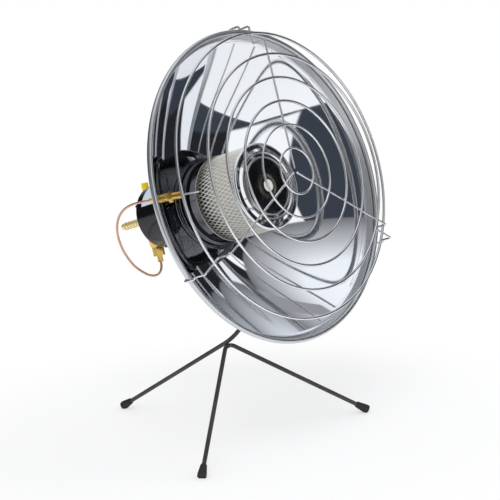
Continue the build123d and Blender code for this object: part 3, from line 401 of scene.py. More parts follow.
class Wiring:
    """Adds nodes to one node tree and joins them."""

    def __init__(self, tree: bpy.types.NodeTree) -> None:
        """Start from an empty tree with its coordinates.

        Args:
            tree: The node tree, which is cleared.
        """
        self.tree = tree
        self.tree.nodes.clear()
        self.coordinates = self.add("ShaderNodeTexCoord")

    def put(self, value: Socket | float | Sequence[float], socket: Socket) -> None:
        """Join a socket to another one, or set its own value.

        Args:
            value: The socket or the value that goes in.
            socket: The socket that takes it.
        """
        if isinstance(value, Socket):
            self.tree.links.new(value, socket)
        else:
            socket.default_value = value

    def add(
        self, kind: str, inputs: dict[str | int, object] | None = None, **settings: object
    ) -> bpy.types.Node:
        """Add a node.

        Args:
            kind: The node's type.
            inputs: What goes into its sockets, each a socket or a value.
            **settings: The node's properties, which are set first.

        Returns:
            The new node.
        """
        node = self.tree.nodes.new(kind)
        for name, value in settings.items():
            setattr(node, name, value)
        for name, value in (inputs or {}).items():
            self.put(value, node.inputs[name])
        return node

    def math(self, operation: str, *values: Socket | float) -> Socket:
        """The result of an operation on sockets or numbers."""
        return self.add("ShaderNodeMath", dict(enumerate(values)), operation=operation).outputs[0]

    def vector_math(self, operation: str, *values: Socket | Sequence[float]) -> Socket:
        """The result of an operation on vectors, which is a number for a length or a product."""
        node = self.add("ShaderNodeVectorMath", dict(enumerate(values)), operation=operation)
        return node.outputs["Value" if operation in ("LENGTH", "DOT_PRODUCT") else "Vector"]

    def mixed(self, share: Socket, first: Socket, second: Socket) -> Socket:
        """Mix two shaders by a share."""
        return self.add("ShaderNodeMixShader", {0: share, 1: first, 2: second}).outputs[0]

    def span(
        self,
        value: Socket,
        start: float,
        end: float,
        low: float = 0.0,
        high: float = 1.0,
        soft: bool = False,
    ) -> Socket:
        """Map one range of a value to another, and hold it there.

        Args:
            value: The socket that is mapped.
            start: The value that becomes low.
            end: The value that becomes high.
            low: The result at the start.
            high: The result at the end.
            soft: Whether the result leaves and reaches its ends gently.

        Returns:
            The result's socket.
        """
        ends = {"From Min": start, "From Max": end, "To Min": low, "To Max": high}
        kind = "SMOOTHSTEP" if soft else "LINEAR"
        node = self.add("ShaderNodeMapRange", {"Value": value, **ends}, interpolation_type=kind)
        return node.outputs["Result"]

    def ramp(self, value: Socket, stops: Stops) -> Socket:
        """Colours over a value.

        Args:
            value: The socket that is looked up.
            stops: (place, colour) pairs, in order.

        Returns:
            The colour socket.
        """
        node = self.add("ShaderNodeValToRGB", {"Fac": value})
        elements = node.color_ramp.elements
        while len(elements) < len(stops):
            elements.new(0.5)
        for element, (position, colour) in zip(elements, stops):
            element.position = position
            element.color = (*colour, 1.0)
        return node.outputs["Color"]


class Grain(Enum):
    """How the marks of each way of making a metal are stretched along the head's axes."""

    DRAWN = (1.0, 1.0, 6.0)
    TURNED = (0.3, 4.0, 1.5)
    SPUN = (0.4, 5.0, 5.0)


class Nodes(Wiring):
    """The wiring of one material, round a Principled shader."""

    noise_range: Limits = (0.3, 0.7)

    def __init__(self, name: str, **values: object) -> None:
        """Start a material with its output and its shader's values.

        Args:
            name: The material's name.
            **values: The shader's values, as for set.
        """
        self.material = bpy.data.materials.new(name)
        self.material.use_nodes = True
        super().__init__(self.material.node_tree)
        self.position = self.coordinates.outputs["Object"]
        self.shader = self.add("ShaderNodeBsdfPrincipled")
        surface = {"Surface": self.shader.outputs["BSDF"]}
        self.output = self.add("ShaderNodeOutputMaterial", surface)
        self.set(**values)

    def set(self, **values: object) -> None:
        """Set or join the shader's sockets, with underscores for the spaces in their names."""
        for name, value in values.items():
            self.put(value, self.shader.inputs[name.replace("_", " ")])

    def axis_distance(self) -> Socket:
        """The distance from the head's axis, in metres.

        Returns:
            The distance's socket.
        """
        head = HEAD.matrix()
        apart = self.vector_math("SUBTRACT", self.position, head.translation)
        across = self.vector_math("CROSS_PRODUCT", apart, head.col[2][:3])
        return self.vector_math("LENGTH", across)

    def noise(self, scale: float, detail: float, grain: Grain | None = None) -> Socket:
        """Noise over the object, stretched if the metal has a grain.

        Args:
            scale: How fine the noise is.
            detail: How many finer layers it has.
            grain: How it is stretched along the head's axes.

        Returns:
            The noise's socket.
        """
        where = self.position
        if grain is not None:
            lean = (math.radians(HEAD.tilt), 0.0, 0.0)
            inputs = {"Vector": where, "Rotation": lean, "Scale": grain.value}
            where = self.add("ShaderNodeMapping", inputs).outputs["Vector"]
        inputs = {"Vector": where, "Scale": scale, "Detail": detail}
        return self.add("ShaderNodeTexNoise", inputs).outputs["Fac"]

    def spread(self, value: Socket, limits: Limits) -> Socket:
        """A noise value, spread over the range between two limits."""
        return self.span(value, *self.noise_range, *limits)

    def bump(self, height: Socket, strength: float, distance: float = RELIEF) -> None:
        """Bump the shader's normal by a height, with the distance in metres."""
        inputs = {"Strength": strength, "Distance": distance, "Height": height}
        self.set(Normal=self.add("ShaderNodeBump", inputs).outputs["Normal"])


@dataclass(frozen=True)
class MetalFinish:
    """A bare or plated metal with its making marks, light smudges and a little wear."""

    name: str
    colour: Colour
    shade: Colour
    roughness: Limits
    grain: Grain
    grain_scale: float
    bump: float
    metallic: float = 1.0
    grain_detail: float = 5.0
    smudges: Texture = (28.0, 4.0)
    smudge_edges: Limits = (0.35, 0.62)
    grain_share: float = 0.5

    def make(self) -> Material:
        """Wire the material.

        Returns:
            The material.
        """
        nodes = Nodes(self.name, Metallic=self.metallic)
        smudges = nodes.noise(*self.smudges)
        marks = nodes.noise(self.grain_scale, self.grain_detail, self.grain)
        rest = nodes.math("MULTIPLY", smudges, 1 - self.grain_share)
        dull = nodes.math("MULTIPLY_ADD", marks, self.grain_share, rest)
        stops = list(zip(self.smudge_edges, (self.shade, self.colour)))
        nodes.set(Base_Color=nodes.ramp(smudges, stops), Roughness=nodes.spread(dull, self.roughness))
        nodes.bump(marks, self.bump)
        return nodes.material


@dataclass(frozen=True)
class DishFinish:
    """Bright chrome that the spinning tool left duller and faintly ribbed on the rim."""

    name: str
    colour: Colour
    rim_colour: Colour
    roughness: Limits
    rim_roughness: float
    rim_start: float = 170.0
    rim_full: float = 171.5
    rib_pitch: float = 2.4
    rib_height: float = 0.2
    bump: float = 0.05
    haze: float = 0.12
    smudges: Texture = (28.0, 4.0)
    grain: Texture = (200.0, 3.0)
    grain_height: float = 0.04

    def make(self) -> Material:
        """Wire the material.

        Returns:
            The material.
        """
        nodes = Nodes(self.name, Metallic=1.0)
        distance = nodes.axis_distance()
        rim = nodes.span(distance, self.rim_start * MM, self.rim_full * MM)
        smudges = nodes.noise(*self.smudges)
        hazy = nodes.math("MULTIPLY_ADD", smudges, self.haze, rim)
        stops = [(0.0, self.colour), (self.haze, self.colour), (1.0, self.rim_colour)]
        smear = nodes.spread(smudges, self.roughness)
        dull = nodes.math("MULTIPLY_ADD", rim, self.rim_roughness, smear)
        nodes.set(Base_Color=nodes.ramp(hazy, stops), Roughness=dull)
        turns = nodes.math("MULTIPLY", distance, 2 * math.pi / (self.rib_pitch * MM))
        ribs = nodes.math("MULTIPLY", nodes.math("SINE", turns), rim)
        marks = nodes.noise(*self.grain, Grain.SPUN)
        grain = nodes.math("MULTIPLY", marks, self.grain_height)
        nodes.bump(nodes.math("MULTIPLY_ADD", ribs, self.rib_height, grain), self.bump)
        return nodes.material


@dataclass(frozen=True)
class RingedFinish:
    """A polished metal disc with rings of colour round the head's axis."""

    name: str
    rings: tuple[tuple[float, Colour], ...]
    roughness: Limits
    bump: float = 0.04
    ragged: float = 0.04
    cloud: Texture = (40.0, 4.0)
    grain: Texture = (300.0, 5.0)

    def make(self) -> Material:
        """Wire the material.

        Returns:
            The material.
        """
        nodes = Nodes(self.name, Metallic=1.0)
        reach = self.rings[-1][0]
        cloud = nodes.noise(*self.cloud)
        away = nodes.axis_distance()
        share = nodes.math("MULTIPLY_ADD", away, 1 / (reach * MM), -self.ragged / 2)
        ragged = nodes.math("MULTIPLY_ADD", cloud, self.ragged, share)
        stops = [(radius / reach, colour) for radius, colour in self.rings]
        nodes.set(Base_Color=nodes.ramp(ragged, stops), Roughness=nodes.spread(cloud, self.roughness))
        nodes.bump(nodes.noise(*self.grain, Grain.TURNED), self.bump)
        return nodes.material


@dataclass(frozen=True)
class StainAndShadeFinish:
    """A pale heat-proof metal, darker towards the burner's base, where the dark tone is painted shade
    with some heat stain.
    """

    name: str
    colour: Colour
    stain_and_shade: Colour
    stain_and_shade_start: float
    stain_and_shade_end: float
    roughness: Limits
    metallic: float
    weave: float = 1400.0
    bump: float = 0.3
    specular: float = 0.4
    ragged: float = 12.0
    cloud: Texture = (60.0, 4.0)
    weave_detail: float = 2.0

    def make(self) -> Material:
        """Wire the material.

        Returns:
            The material.
        """
        nodes = Nodes(self.name, Metallic=self.metallic, Specular_IOR_Level=self.specular)
        head = HEAD.matrix()
        along = nodes.vector_math("DOT_PRODUCT", nodes.position, head.col[2][:3])
        middle = head.translation.dot(head.col[2].to_3d()) + self.ragged / 2 * MM
        cloud = nodes.noise(*self.cloud)
        ragged = nodes.math("MULTIPLY_ADD", cloud, self.ragged * MM, along)
        start = middle + self.stain_and_shade_start * MM
        end = middle + self.stain_and_shade_end * MM
        # The share of the pale colour. Under it the dark tone is painted shade near the base, with
        # heat stain on the strands.
        stain_and_shade_fade = nodes.span(ragged, start, end, soft=True)
        stops = [(0.0, self.stain_and_shade), (1.0, self.colour)]
        nodes.set(Base_Color=nodes.ramp(stain_and_shade_fade, stops), Roughness=nodes.spread(cloud, self.roughness))
        nodes.bump(nodes.noise(self.weave, self.weave_detail), self.bump)
        return nodes.material


@dataclass(frozen=True)
class CoatFinish:
    """A paint, enamel, plastic or rubber: a coloured skin with fine texture."""

    name: str
    colour: Colour
    shade: Colour
    roughness: Limits
    texture_scale: float
    bump: float
    coat: float = 0.0
    specular: float = 0.5
    coat_roughness: float = 0.05
    cloud: Texture = (22.0, 3.0)
    cloud_edges: Limits = (0.35, 0.65)
    texture_detail: float = 2.0
    texture_depth: float = 0.4

    def make(self) -> Material:
        """Wire the material.

        Returns:
            The material.
        """
        nodes = Nodes(self.name, Specular_IOR_Level=self.specular, Coat_Weight=self.coat)
        cloud = nodes.noise(*self.cloud)
        stops = list(zip(self.cloud_edges, (self.shade, self.colour)))
        nodes.set(Base_Color=nodes.ramp(cloud, stops), Roughness=nodes.spread(cloud, self.roughness))
        nodes.set(Coat_Roughness=self.coat_roughness)
        texture = nodes.noise(self.texture_scale, self.texture_detail)
        nodes.bump(texture, self.bump, self.texture_depth * MM)
        return nodes.material


Finish = MetalFinish | DishFinish | RingedFinish | StainAndShadeFinish | CoatFinish

CHROME_DISH = DishFinish(
    "chromed_dish", (0.85, 0.865, 0.89), (0.66, 0.67, 0.69), (0.015, 0.045), rim_roughness=0.3
)
CHROME_WIRE = MetalFinish(
    "plated_wire", (0.90, 0.90, 0.91), (0.80, 0.80, 0.81), (0.05, 0.16), Grain.DRAWN, 500.0, 0.06
)
BURNER_SHEET = MetalFinish(
    "burner_sheet", (0.15, 0.15, 0.16), (0.09, 0.09, 0.10), (0.07, 0.14), Grain.TURNED, 250.0, 0.01
)
BURNER_CHROME = MetalFinish(
    "burner_chrome", (0.88, 0.88, 0.90), (0.80, 0.80, 0.82), (0.05, 0.12), Grain.TURNED, 300.0, 0.03
)
LIP_STEEL = MetalFinish(
    "lip_steel", (0.62, 0.62, 0.63), (0.50, 0.50, 0.51), (0.26, 0.38), Grain.TURNED, 400.0, 0.05
)
PLATED_STEEL = MetalFinish(
    "plated_steel", (0.78, 0.78, 0.79), (0.60, 0.60, 0.61), (0.15, 0.30), Grain.TURNED, 600.0, 0.08
)
ANNEALED_COPPER = MetalFinish(
    "annealed_copper", (0.84, 0.50, 0.36), (0.56, 0.31, 0.22), (0.28, 0.45), Grain.DRAWN, 300.0, 0.08
)
TURNED_BRASS = MetalFinish(
    "turned_brass", (0.95, 0.66, 0.20), (0.78, 0.46, 0.09), (0.12, 0.26), Grain.TURNED, 500.0, 0.08,
    metallic=0.85,
)
DULL_BRASS = MetalFinish(
    "dull_brass", (0.97, 0.81, 0.44), (0.82, 0.62, 0.27), (0.26, 0.40), Grain.TURNED, 500.0, 0.10,
    metallic=0.65,
)
# A brownish ring on the dome's slope, 11.5 to 14 from the axis, between darker rings.
DARK_DISC = RingedFinish(
    "dark_disc",
    (
        (0.0, (0.05, 0.048, 0.045)),
        (9.5, (0.08, 0.075, 0.07)),
        (11.5, (0.24, 0.215, 0.18)),
        (14.0, (0.21, 0.195, 0.17)),
        (17.0, (0.07, 0.072, 0.08)),
        (40.0, (0.07, 0.075, 0.085)),
    ),
    (0.16, 0.30),
)
SATIN_WASHER = StainAndShadeFinish(
    "satin_washer", (0.95, 0.93, 0.87), (0.84, 0.81, 0.73), -12.0, -8.0, (0.36, 0.50),
    metallic=0.35, weave=900.0, bump=0.1,
)
# The strands darken towards the base: heat stain, and painted shade where they meet the base's
# collar.
STRAND_STAIN_AND_SHADE = StainAndShadeFinish(
    "strand_stain_and_shade", (0.97, 0.955, 0.90), (0.24, 0.22, 0.18), -67.0, -51.0, (0.45, 0.62),
    metallic=0.05,
)
# The gauze goes near black towards the base: painted shade behind the strands.
GAUZE_PAINTED_SHADE = StainAndShadeFinish(
    "gauze_painted_shade", (0.68, 0.66, 0.60), (0.030, 0.026, 0.022), -59.0, -35.0, (0.6, 0.8),
    metallic=0.2,
)
BLACK_ENAMEL = CoatFinish(
    "black_enamel", (0.010, 0.010, 0.014), (0.005, 0.005, 0.007), (0.12, 0.22), 260.0, 0.04,
    coat=0.15, specular=0.42,
)
YELLOW_PLASTIC = CoatFinish(
    "yellow_plastic", (0.93, 0.70, 0.012), (0.86, 0.60, 0.008), (0.25, 0.38), 500.0, 0.06, coat=0.2
)
ROD_ENAMEL = CoatFinish(
    "rod_enamel", (0.050, 0.046, 0.040), (0.026, 0.024, 0.022), (0.32, 0.48), 700.0, 0.18
)
BLACK_RUBBER = CoatFinish(
    "black_rubber", (0.022, 0.022, 0.023), (0.012, 0.012, 0.012), (0.55, 0.75), 900.0, 0.25
)
LABEL_FILM = CoatFinish(
    "label_film", (0.66, 0.76, 0.84), (0.60, 0.71, 0.80), (0.32, 0.42), 300.0, 0.03
)
FIBRE_BOARD = CoatFinish(
    "fibre_board", (0.62, 0.58, 0.50), (0.48, 0.45, 0.39), (0.85, 0.95), 900.0, 0.5
)

FINISHED_NODES: tuple[tuple[Finish, tuple[str, ...]], ...] = (
    (CHROME_WIRE, tuple(f"guard_ring_{number}" for number in range(1, 7))),
    (CHROME_WIRE, tuple(f"guard_spoke_{number}" for number in range(1, 4))),
    (CHROME_DISH, ("reflector",)),
    (BURNER_SHEET, ("burner_base", "mixing_tube", "deflector_cone", "stud_bridge")),
    (BURNER_CHROME, ("burner_cap",)),
    (DARK_DISC, ("cap_disc",)),
    (STRAND_STAIN_AND_SHADE, ("emitter_mesh",)),
    (PLATED_STEEL, ("cap_washer", "cap_screw", "burner_screws", "burner_nuts", "cover_screws")),
    (PLATED_STEEL, ("magnet_unit", "button_spring", "button_stem", "flame_probe")),
    (PLATED_STEEL, ("pivot_bolt", "pivot_washer", "wing_nut")),
    (TURNED_BRASS, ("valve_body", "magnet_nut", "thermocouple_nut", "outlet_nipple")),
    (TURNED_BRASS, ("nipple_lock_nut", "injector", "probe_holder")),
    (TURNED_BRASS, ("probe_inner_nut", "probe_outer_nut")),
    (DULL_BRASS, ("hose_tail",)),
    (ANNEALED_COPPER, ("thermocouple_lead",)),
    (BLACK_ENAMEL, ("valve_housing", "housing_rear_cover", "tilt_bracket", "bracket_rivets")),
    (ROD_ENAMEL, ("stand_rod", "front_left_leg", "front_right_leg")),
    (BLACK_RUBBER, ("rear_foot", "front_left_foot", "front_right_foot")),
    (YELLOW_PLASTIC, ("button_cap",)),
    (LABEL_FILM, ("blank_label",)),
    (FIBRE_BOARD, ("base_gasket",)),
)


class Palette:
    """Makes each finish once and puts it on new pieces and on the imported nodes."""

    def __init__(self, nodes: dict[str, Piece]) -> None:
        """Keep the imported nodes."""
        self.nodes = nodes
        self.made: dict[str, Material] = {}

    def material(self, finish: Finish) -> Material:
        """The finish's material, made the first time it is asked for.

        Args:
            finish: The finish.

        Returns:
            Its material.
        """
        if finish.name not in self.made:
            self.made[finish.name] = finish.make()
        return self.made[finish.name]

    def dress_nodes(self, finish: Finish, names: Sequence[str]) -> None:
        """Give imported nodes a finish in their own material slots.

        Args:
            finish: The finish.
            names: The nodes' names.
        """
        for name in names:
            for slot in self.nodes[name].material_slots:
                slot.material = self.material(finish)

    def fit(
        self,
        piece: Piece,
        finish: Finish,
        solid: str | None = None,
        body: Body = Body.HEAD,
    ) -> None:
        """Finish a new piece, let it move with its body and report it.

        Args:
            piece: The new piece.
            finish: Its finish, all over.
            solid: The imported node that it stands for, if there is one.
            body: The body that carries it.
        """
        piece.data.materials.clear()
        piece.data.materials.append(self.material(finish))
        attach(piece, body.value)
        if solid is not None:
            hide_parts(solid)
        LOG.info("%s: %d faces", piece.name, len(piece.data.polygons))


# Sub-assemblies


@dataclass
class Reflector:
    """The chromed dish: bowl, crease, rim band and rolled bead."""

    radius: float = 180.0
    wall: float = 0.8
    hole_radius: float = 26.0
    crease_radius: float = 170.5
    band_height: float = 8.7
    band_overlap: float = 0.16
    bead_radius: float = 3.0
    bead_opening: float = 40.0
    segments: int = 320
    bowl_rings: int = 56
    crease_steps: int = 4
    bead_steps: int = 22
    edge_angle: float = 25.0

    def outline(self) -> Outline:
        """The inner skin from the hole over the crease to the bead.

        Returns:
            (radius, height) points.
        """
        points = []
        for share in shares(self.bowl_rings):
            radius = self.hole_radius + (self.crease_radius - self.hole_radius) * share
            points.append((radius, HEAD.surface(radius)))
        foot, level = points[-1]
        reach = self.radius - 2 * self.bead_radius + self.band_overlap - foot
        for share in shares(self.crease_steps)[1:]:
            points.append((foot + reach * share, level + self.band_height * share))
        return points

    def bead_outline(self) -> Outline:
        """The bead's section: an open roll with a slot at its back.

        Returns:
            (radius, height) points.
        """
        centre = (self.radius - self.bead_radius, 0.0)
        start = self.bead_opening / 2 - 90
        end = 270 - self.bead_opening / 2
        outer = arc(centre, self.bead_radius, start, end, self.bead_steps)
        inner = arc(centre, self.bead_radius - self.wall, end, start, self.bead_steps)
        return outer + inner + outer[:1]

    def build(self, palette: Palette) -> None:
        """Model the dish and let it stand for its solid.

        Args:
            palette: The finishes.
        """
        bowl = turned("dish_bowl", self.outline(), self.segments)
        recalculate(bowl)
        apply_modifier(bowl, "SOLIDIFY", thickness=self.wall * MM, offset=1.0)
        bead = turned("dish_bead", self.bead_outline(), self.segments)
        recalculate(bead, SEAM)
        dish = join([bowl, bead], "chromed_dish")
        settle(dish, self.edge_angle, HEAD.matrix())
        palette.fit(dish, CHROME_DISH, "reflector")


@dataclass
class BurnerSleeve:
    """The burner's sleeve: expanded metal of long diamonds over a fine gauze."""

    radius: float = 48.75
    bottom: float = -67.0
    top: float = -4.6
    columns: int = 62
    rows: int = 6
    strand: float = 0.9
    lift: float = 0.25
    lean_down: float = 0.25
    lean_forward: float = 0.5
    louvre_radius: float = 0.52
    louvre_lift: float = 0.12
    louvre_resolution: int = 1
    lining_radius: float = 47.9
    lining_wall: float = 0.3
    lining_rings: int = 12
    lining_segments: int = 124
    foot_radius: float = 50.0
    foot_drop: float = 0.3
    foot_bead: float = 0.6
    foot_steps: int = 16
    foot_segments: int = 160
    edge_angle: float = 40.0

    def lattice(self) -> Piece:
        """A cylinder of diamonds, whose edges become the strands.

        Returns:
            The lattice, at the origin.
        """
        deselect()
        height = (self.top - self.bottom) * MM
        bpy.ops.mesh.primitive_cylinder_add(
            vertices=self.columns, radius=self.radius * MM, depth=height, end_fill_type="NOTHING"
        )
        sleeve = named("expanded_metal")
        edit()
        bpy.ops.mesh.select_mode(type="VERT")
        for row in range(1, self.rows):
            level = -height / 2 + height * row / self.rows
            bpy.ops.mesh.select_all(action="SELECT")
            bpy.ops.mesh.bisect(plane_co=(0, 0, level), plane_no=(0, 0, 1))
        leave_edit()
        corners = len(sleeve.data.vertices)
        old_edges = {tuple(sorted(edge.vertices)) for edge in sleeve.data.edges}
        edit()
        bpy.ops.mesh.poke(offset=0.0)
        bpy.ops.mesh.select_mode(type="EDGE")
        bpy.ops.mesh.select_all(action="DESELECT")
        leave_edit()
        for edge in sleeve.data.edges:
            ends = [sleeve.data.vertices[index].co for index in edge.vertices]
            rim = all(abs(abs(end.z) - height / 2) < LEVEL for end in ends)
            edge.select = tuple(sorted(edge.vertices)) in old_edges and not rim
        edit(everything=False)
        bpy.ops.mesh.dissolve_edges(use_verts=False)
        leave_edit()
        for vertex in sleeve.data.vertices:
            reach = self.radius if vertex.index < corners else self.radius + self.lift
            flat = math.hypot(vertex.co.x, vertex.co.y)
            vertex.co.x *= reach * MM / flat
            vertex.co.y *= reach * MM / flat
        return sleeve

    def louvres(self, sleeve: Piece) -> Piece:
        """The strands that rise towards the cap, which the press leaves thicker and higher.

        Args:
            sleeve: The lattice, before its edges become strands.

        Returns:
            The thick strands as one piece.
        """
        strands = linked("louvres", sleeve.data.copy())
        pick(strands)
        edit(everything=False)
        bpy.ops.mesh.select_mode(type="EDGE")
        bpy.ops.mesh.select_all(action="DESELECT")
        leave_edit()
        points = strands.data.vertices
        for edge in strands.data.edges:
            low, high = sorted((points[index].co for index in edge.vertices), key=lambda co: co.z)
            turn = low.x * high.y - low.y * high.x
            edge.select = turn > -NO_TURN or high.z - low.z < LEVEL
        edit(everything=False)
        bpy.ops.mesh.delete(type="EDGE_FACE")
        bpy.ops.mesh.select_all(action="SELECT")
        bpy.ops.mesh.delete(type="ONLY_FACE")
        leave_edit()
        for vertex in strands.data.vertices:
            flat = math.hypot(vertex.co.x, vertex.co.y)
            vertex.co.x *= 1.0 + self.louvre_lift * MM / flat
            vertex.co.y *= 1.0 + self.louvre_lift * MM / flat
        bpy.ops.object.convert(target="CURVE")
        curve = bpy.context.object.data
        curve.bevel_depth = self.louvre_radius * MM
        curve.bevel_resolution = self.louvre_resolution
        curve.use_fill_caps = True
        bpy.ops.object.convert(target="MESH")
        return bpy.context.object

    def twist_strands(self, sleeve: Piece) -> None:
        """Lean the strands' outer faces over, as the press leaves them, so they look like louvres.

        Args:
            sleeve: The sleeve with its strands.
        """
        for vertex in sleeve.data.vertices:
            flat = math.hypot(vertex.co.x, vertex.co.y)
            out = (flat / MM - self.radius - self.lift / 2) / (self.strand / 2)
            turn = self.lean_down * out / self.radius
            x, y = vertex.co.x, vertex.co.y
            vertex.co.x = x * math.cos(turn) - y * math.sin(turn)
            vertex.co.y = x * math.sin(turn) + y * math.cos(turn)
            vertex.co.z += self.lean_forward * MM * out / 2

    def expanded_metal(self) -> Piece:
        """The lattice with its thin and its thick strands.

        Returns:
            The strands, in their place.
        """
        sleeve = self.lattice()
        louvres = self.louvres(sleeve)
        strands = {"thickness": self.strand * MM, "use_boundary": True, "use_replace": True}
        apply_modifier(sleeve, "WIREFRAME", **strands)
        self.twist_strands(sleeve)
        sleeve = join([sleeve, louvres], "expanded_metal")
        settle(sleeve, self.edge_angle, HEAD.matrix(forward=(self.bottom + self.top) / 2))
        return sleeve

    def foot_ring(self) -> Piece:
        """The bright bead where the sleeve's foot is crimped to the pan's lip.

        Returns:
            The bead, in its place.
        """
        centre = (self.foot_radius, self.bottom - self.foot_drop)
        section = arc(centre, self.foot_bead, 0, 360, self.foot_steps)
        ring = turned("sleeve_foot_ring", section, self.foot_segments)
        recalculate(ring, SEAM)
        settle(ring, ROUND_EDGE, HEAD.matrix())
        return ring

    def lining(self) -> Piece:
        """The fine gauze behind the strands.

        Returns:
            The gauze, in its place.
        """
        height = self.top - self.bottom
        levels = [self.bottom + height * share for share in shares(self.lining_rings)]
        outline = [(self.lining_radius, level) for level in levels]
        lining = turned("gauze_lining", outline, self.lining_segments)
        recalculate(lining)
        apply_modifier(lining, "SOLIDIFY", thickness=self.lining_wall * MM, offset=-1.0)
        settle(lining, self.edge_angle, HEAD.matrix())
        return lining

    def build(self, palette: Palette) -> None:
        """Model the sleeve and let it stand for its solid.

        Args:
            palette: The finishes.
        """
        palette.fit(self.expanded_metal(), STRAND_STAIN_AND_SHADE, "emitter_mesh")
        palette.fit(self.foot_ring(), LIP_STEEL)
        palette.fit(self.lining(), GAUZE_PAINTED_SHADE, "emitter_mesh")


@dataclass
class BurnerCap:
    """The burner's cap: a stepped crown, a pressed disc in a rolled lip, and the centre screw."""

    hem_radius: float = 50.2
    hem_bottom: float = -6.2
    hem_rounding: float = 2.6
    hem_steps: int = 12
    rim_level: float = -2.9
    step_foot_radius: float = 43.4
    step_top_radius: float = 39.9
    crown_top: float = -1.3
    crown_rounding: float = 1.0
    ridge_radius: float = 38.4
    groove_radius: float = 37.4
    groove_floor: float = -2.9
    seat_radius: float = 30.0
    sheet: float = 0.6
    lip_radius: float = 33.8
    lip_width: float = 1.7
    lip_top: float = -1.1
    lip_steps: int = 10
    disc_floor: float = -2.9
    disc_rounding: float = 3.0
    disc_edge: tuple[float, float] = (1.2, 0.8)
    dome_radius: float = 14.0
    dome_top: float = -1.6
    dome_seat: float = 0.6
    washer_radius: float = 7.0
    washer_top: float = -0.6
    washer_rounding: float = 0.7
    screw_radius: float = 4.3
    screw_side: float = 1.5
    screw_top: float = 1.4
    screw_rounding: float = 0.6
    stud_radius: float = 2.5
    stud_bottom: float = -90.6
    stud_play: float = 0.1
    recess_radius: float = 2.1
    recess_rim: float = 0.5
    recess_depth: float = 1.5
    gap: float = 0.02
    segments: int = 192
    edge_angle: float = 32.0

    def crown(self) -> Outline:
        """The crown's outer side, from the groove out over the step to the hem's edge.

        Returns:
            (radius, height) points.
        """
        centre = (self.hem_radius - self.hem_rounding, self.rim_level - self.hem_rounding)
        corners = [
            (self.seat_radius, self.groove_floor),
            (self.groove_radius, self.groove_floor),
            (self.ridge_radius, self.crown_top),
            (self.step_top_radius, self.crown_top),
            (self.step_foot_radius, self.rim_level),
            (centre[0], self.rim_level),
        ]
        hem = arc(centre, self.hem_rounding, 90, 0, self.hem_steps)[1:]
        return rounded(corners, self.crown_rounding) + hem + [(self.hem_radius, self.hem_bottom)]

    def lip(self) -> Outline:
        """The lip's closed section, round at its top.

        Returns:
            (radius, height) points.
        """
        half = self.lip_width / 2
        foot = self.groove_floor + self.gap
        top = arc((self.lip_radius - half, self.lip_top - half), half, 0, 180, self.lip_steps)
        outer = (self.lip_radius, foot)
        inner = (self.lip_radius - self.lip_width, foot)
        return [outer] + top + [inner, outer]

    def disc(self) -> Outline:
        """The disc's outer side, from its hole out to the lip.

        Returns:
            (radius, height) points.
        """
        edge = self.lip_radius - self.lip_width - self.gap
        corners = [
            (self.stud_radius + self.stud_play, self.dome_top),
            (self.washer_radius + self.dome_seat, self.dome_top),
            (self.dome_radius, self.disc_floor),
            (edge - self.disc_edge[0], self.disc_floor),
            (edge, self.disc_floor + self.disc_edge[1]),
        ]
        return rounded(corners, self.disc_rounding)

    def washer(self) -> Outline:
        """The washer's closed section, with a rounded rim.

        Returns:
            (radius, height) points.
        """
        hole = self.stud_radius + self.stud_play
        under = self.dome_top + self.gap
        corners = [
            (hole, under),
            (self.washer_radius, under),
            (self.washer_radius, self.washer_top),
            (hole, self.washer_top),
            (hole, under),
        ]
        return rounded(corners, self.washer_rounding)

    def screw(self) -> Outline:
        """The stud and its round head, from the stud's foot to the recess.

        Returns:
            (radius, height) points.
        """
        floor = self.screw_top - self.recess_depth
        seat = self.washer_top + self.gap
        corners = [
            (self.stud_radius, seat),
            (self.screw_radius, seat),
            (self.screw_radius, seat + self.screw_side),
            (self.recess_radius + self.recess_rim, self.screw_top),
            (self.recess_radius, self.screw_top),
            (self.recess_radius, floor),
            (self.gap, floor),
        ]
        stud = [(self.gap, self.stud_bottom), (self.stud_radius, self.stud_bottom)]
        return stud + rounded(corners, self.screw_rounding)

    def build(self, palette: Palette) -> None:
        """Model the cap's pieces and let each stand for its solid.

        Args:
            palette: The finishes.
        """
        crown = pressed(self.crown()[::-1], self.sheet)
        disc = pressed(self.disc()[::-1], self.sheet)
        for name, outline, finish, slot, solid in (
            ("cap_crown", crown, BURNER_CHROME, "burner_chrome", "burner_cap"),
            ("disc_lip", self.lip(), LIP_STEEL, "burner_chrome", "cap_disc"),
            ("pressed_disc", disc, DARK_DISC, "dark_disc", "cap_disc"),
            ("centre_washer", self.washer(), SATIN_WASHER, "steel", "cap_washer"),
            ("centre_screw", self.screw(), SATIN_WASHER, "steel", "cap_screw"),
        ):
            piece = turned(name, outline, self.segments)
            recalculate(piece, SEAM)
            settle(piece, self.edge_angle, HEAD.matrix())
            palette.fit(piece, finish, solid)


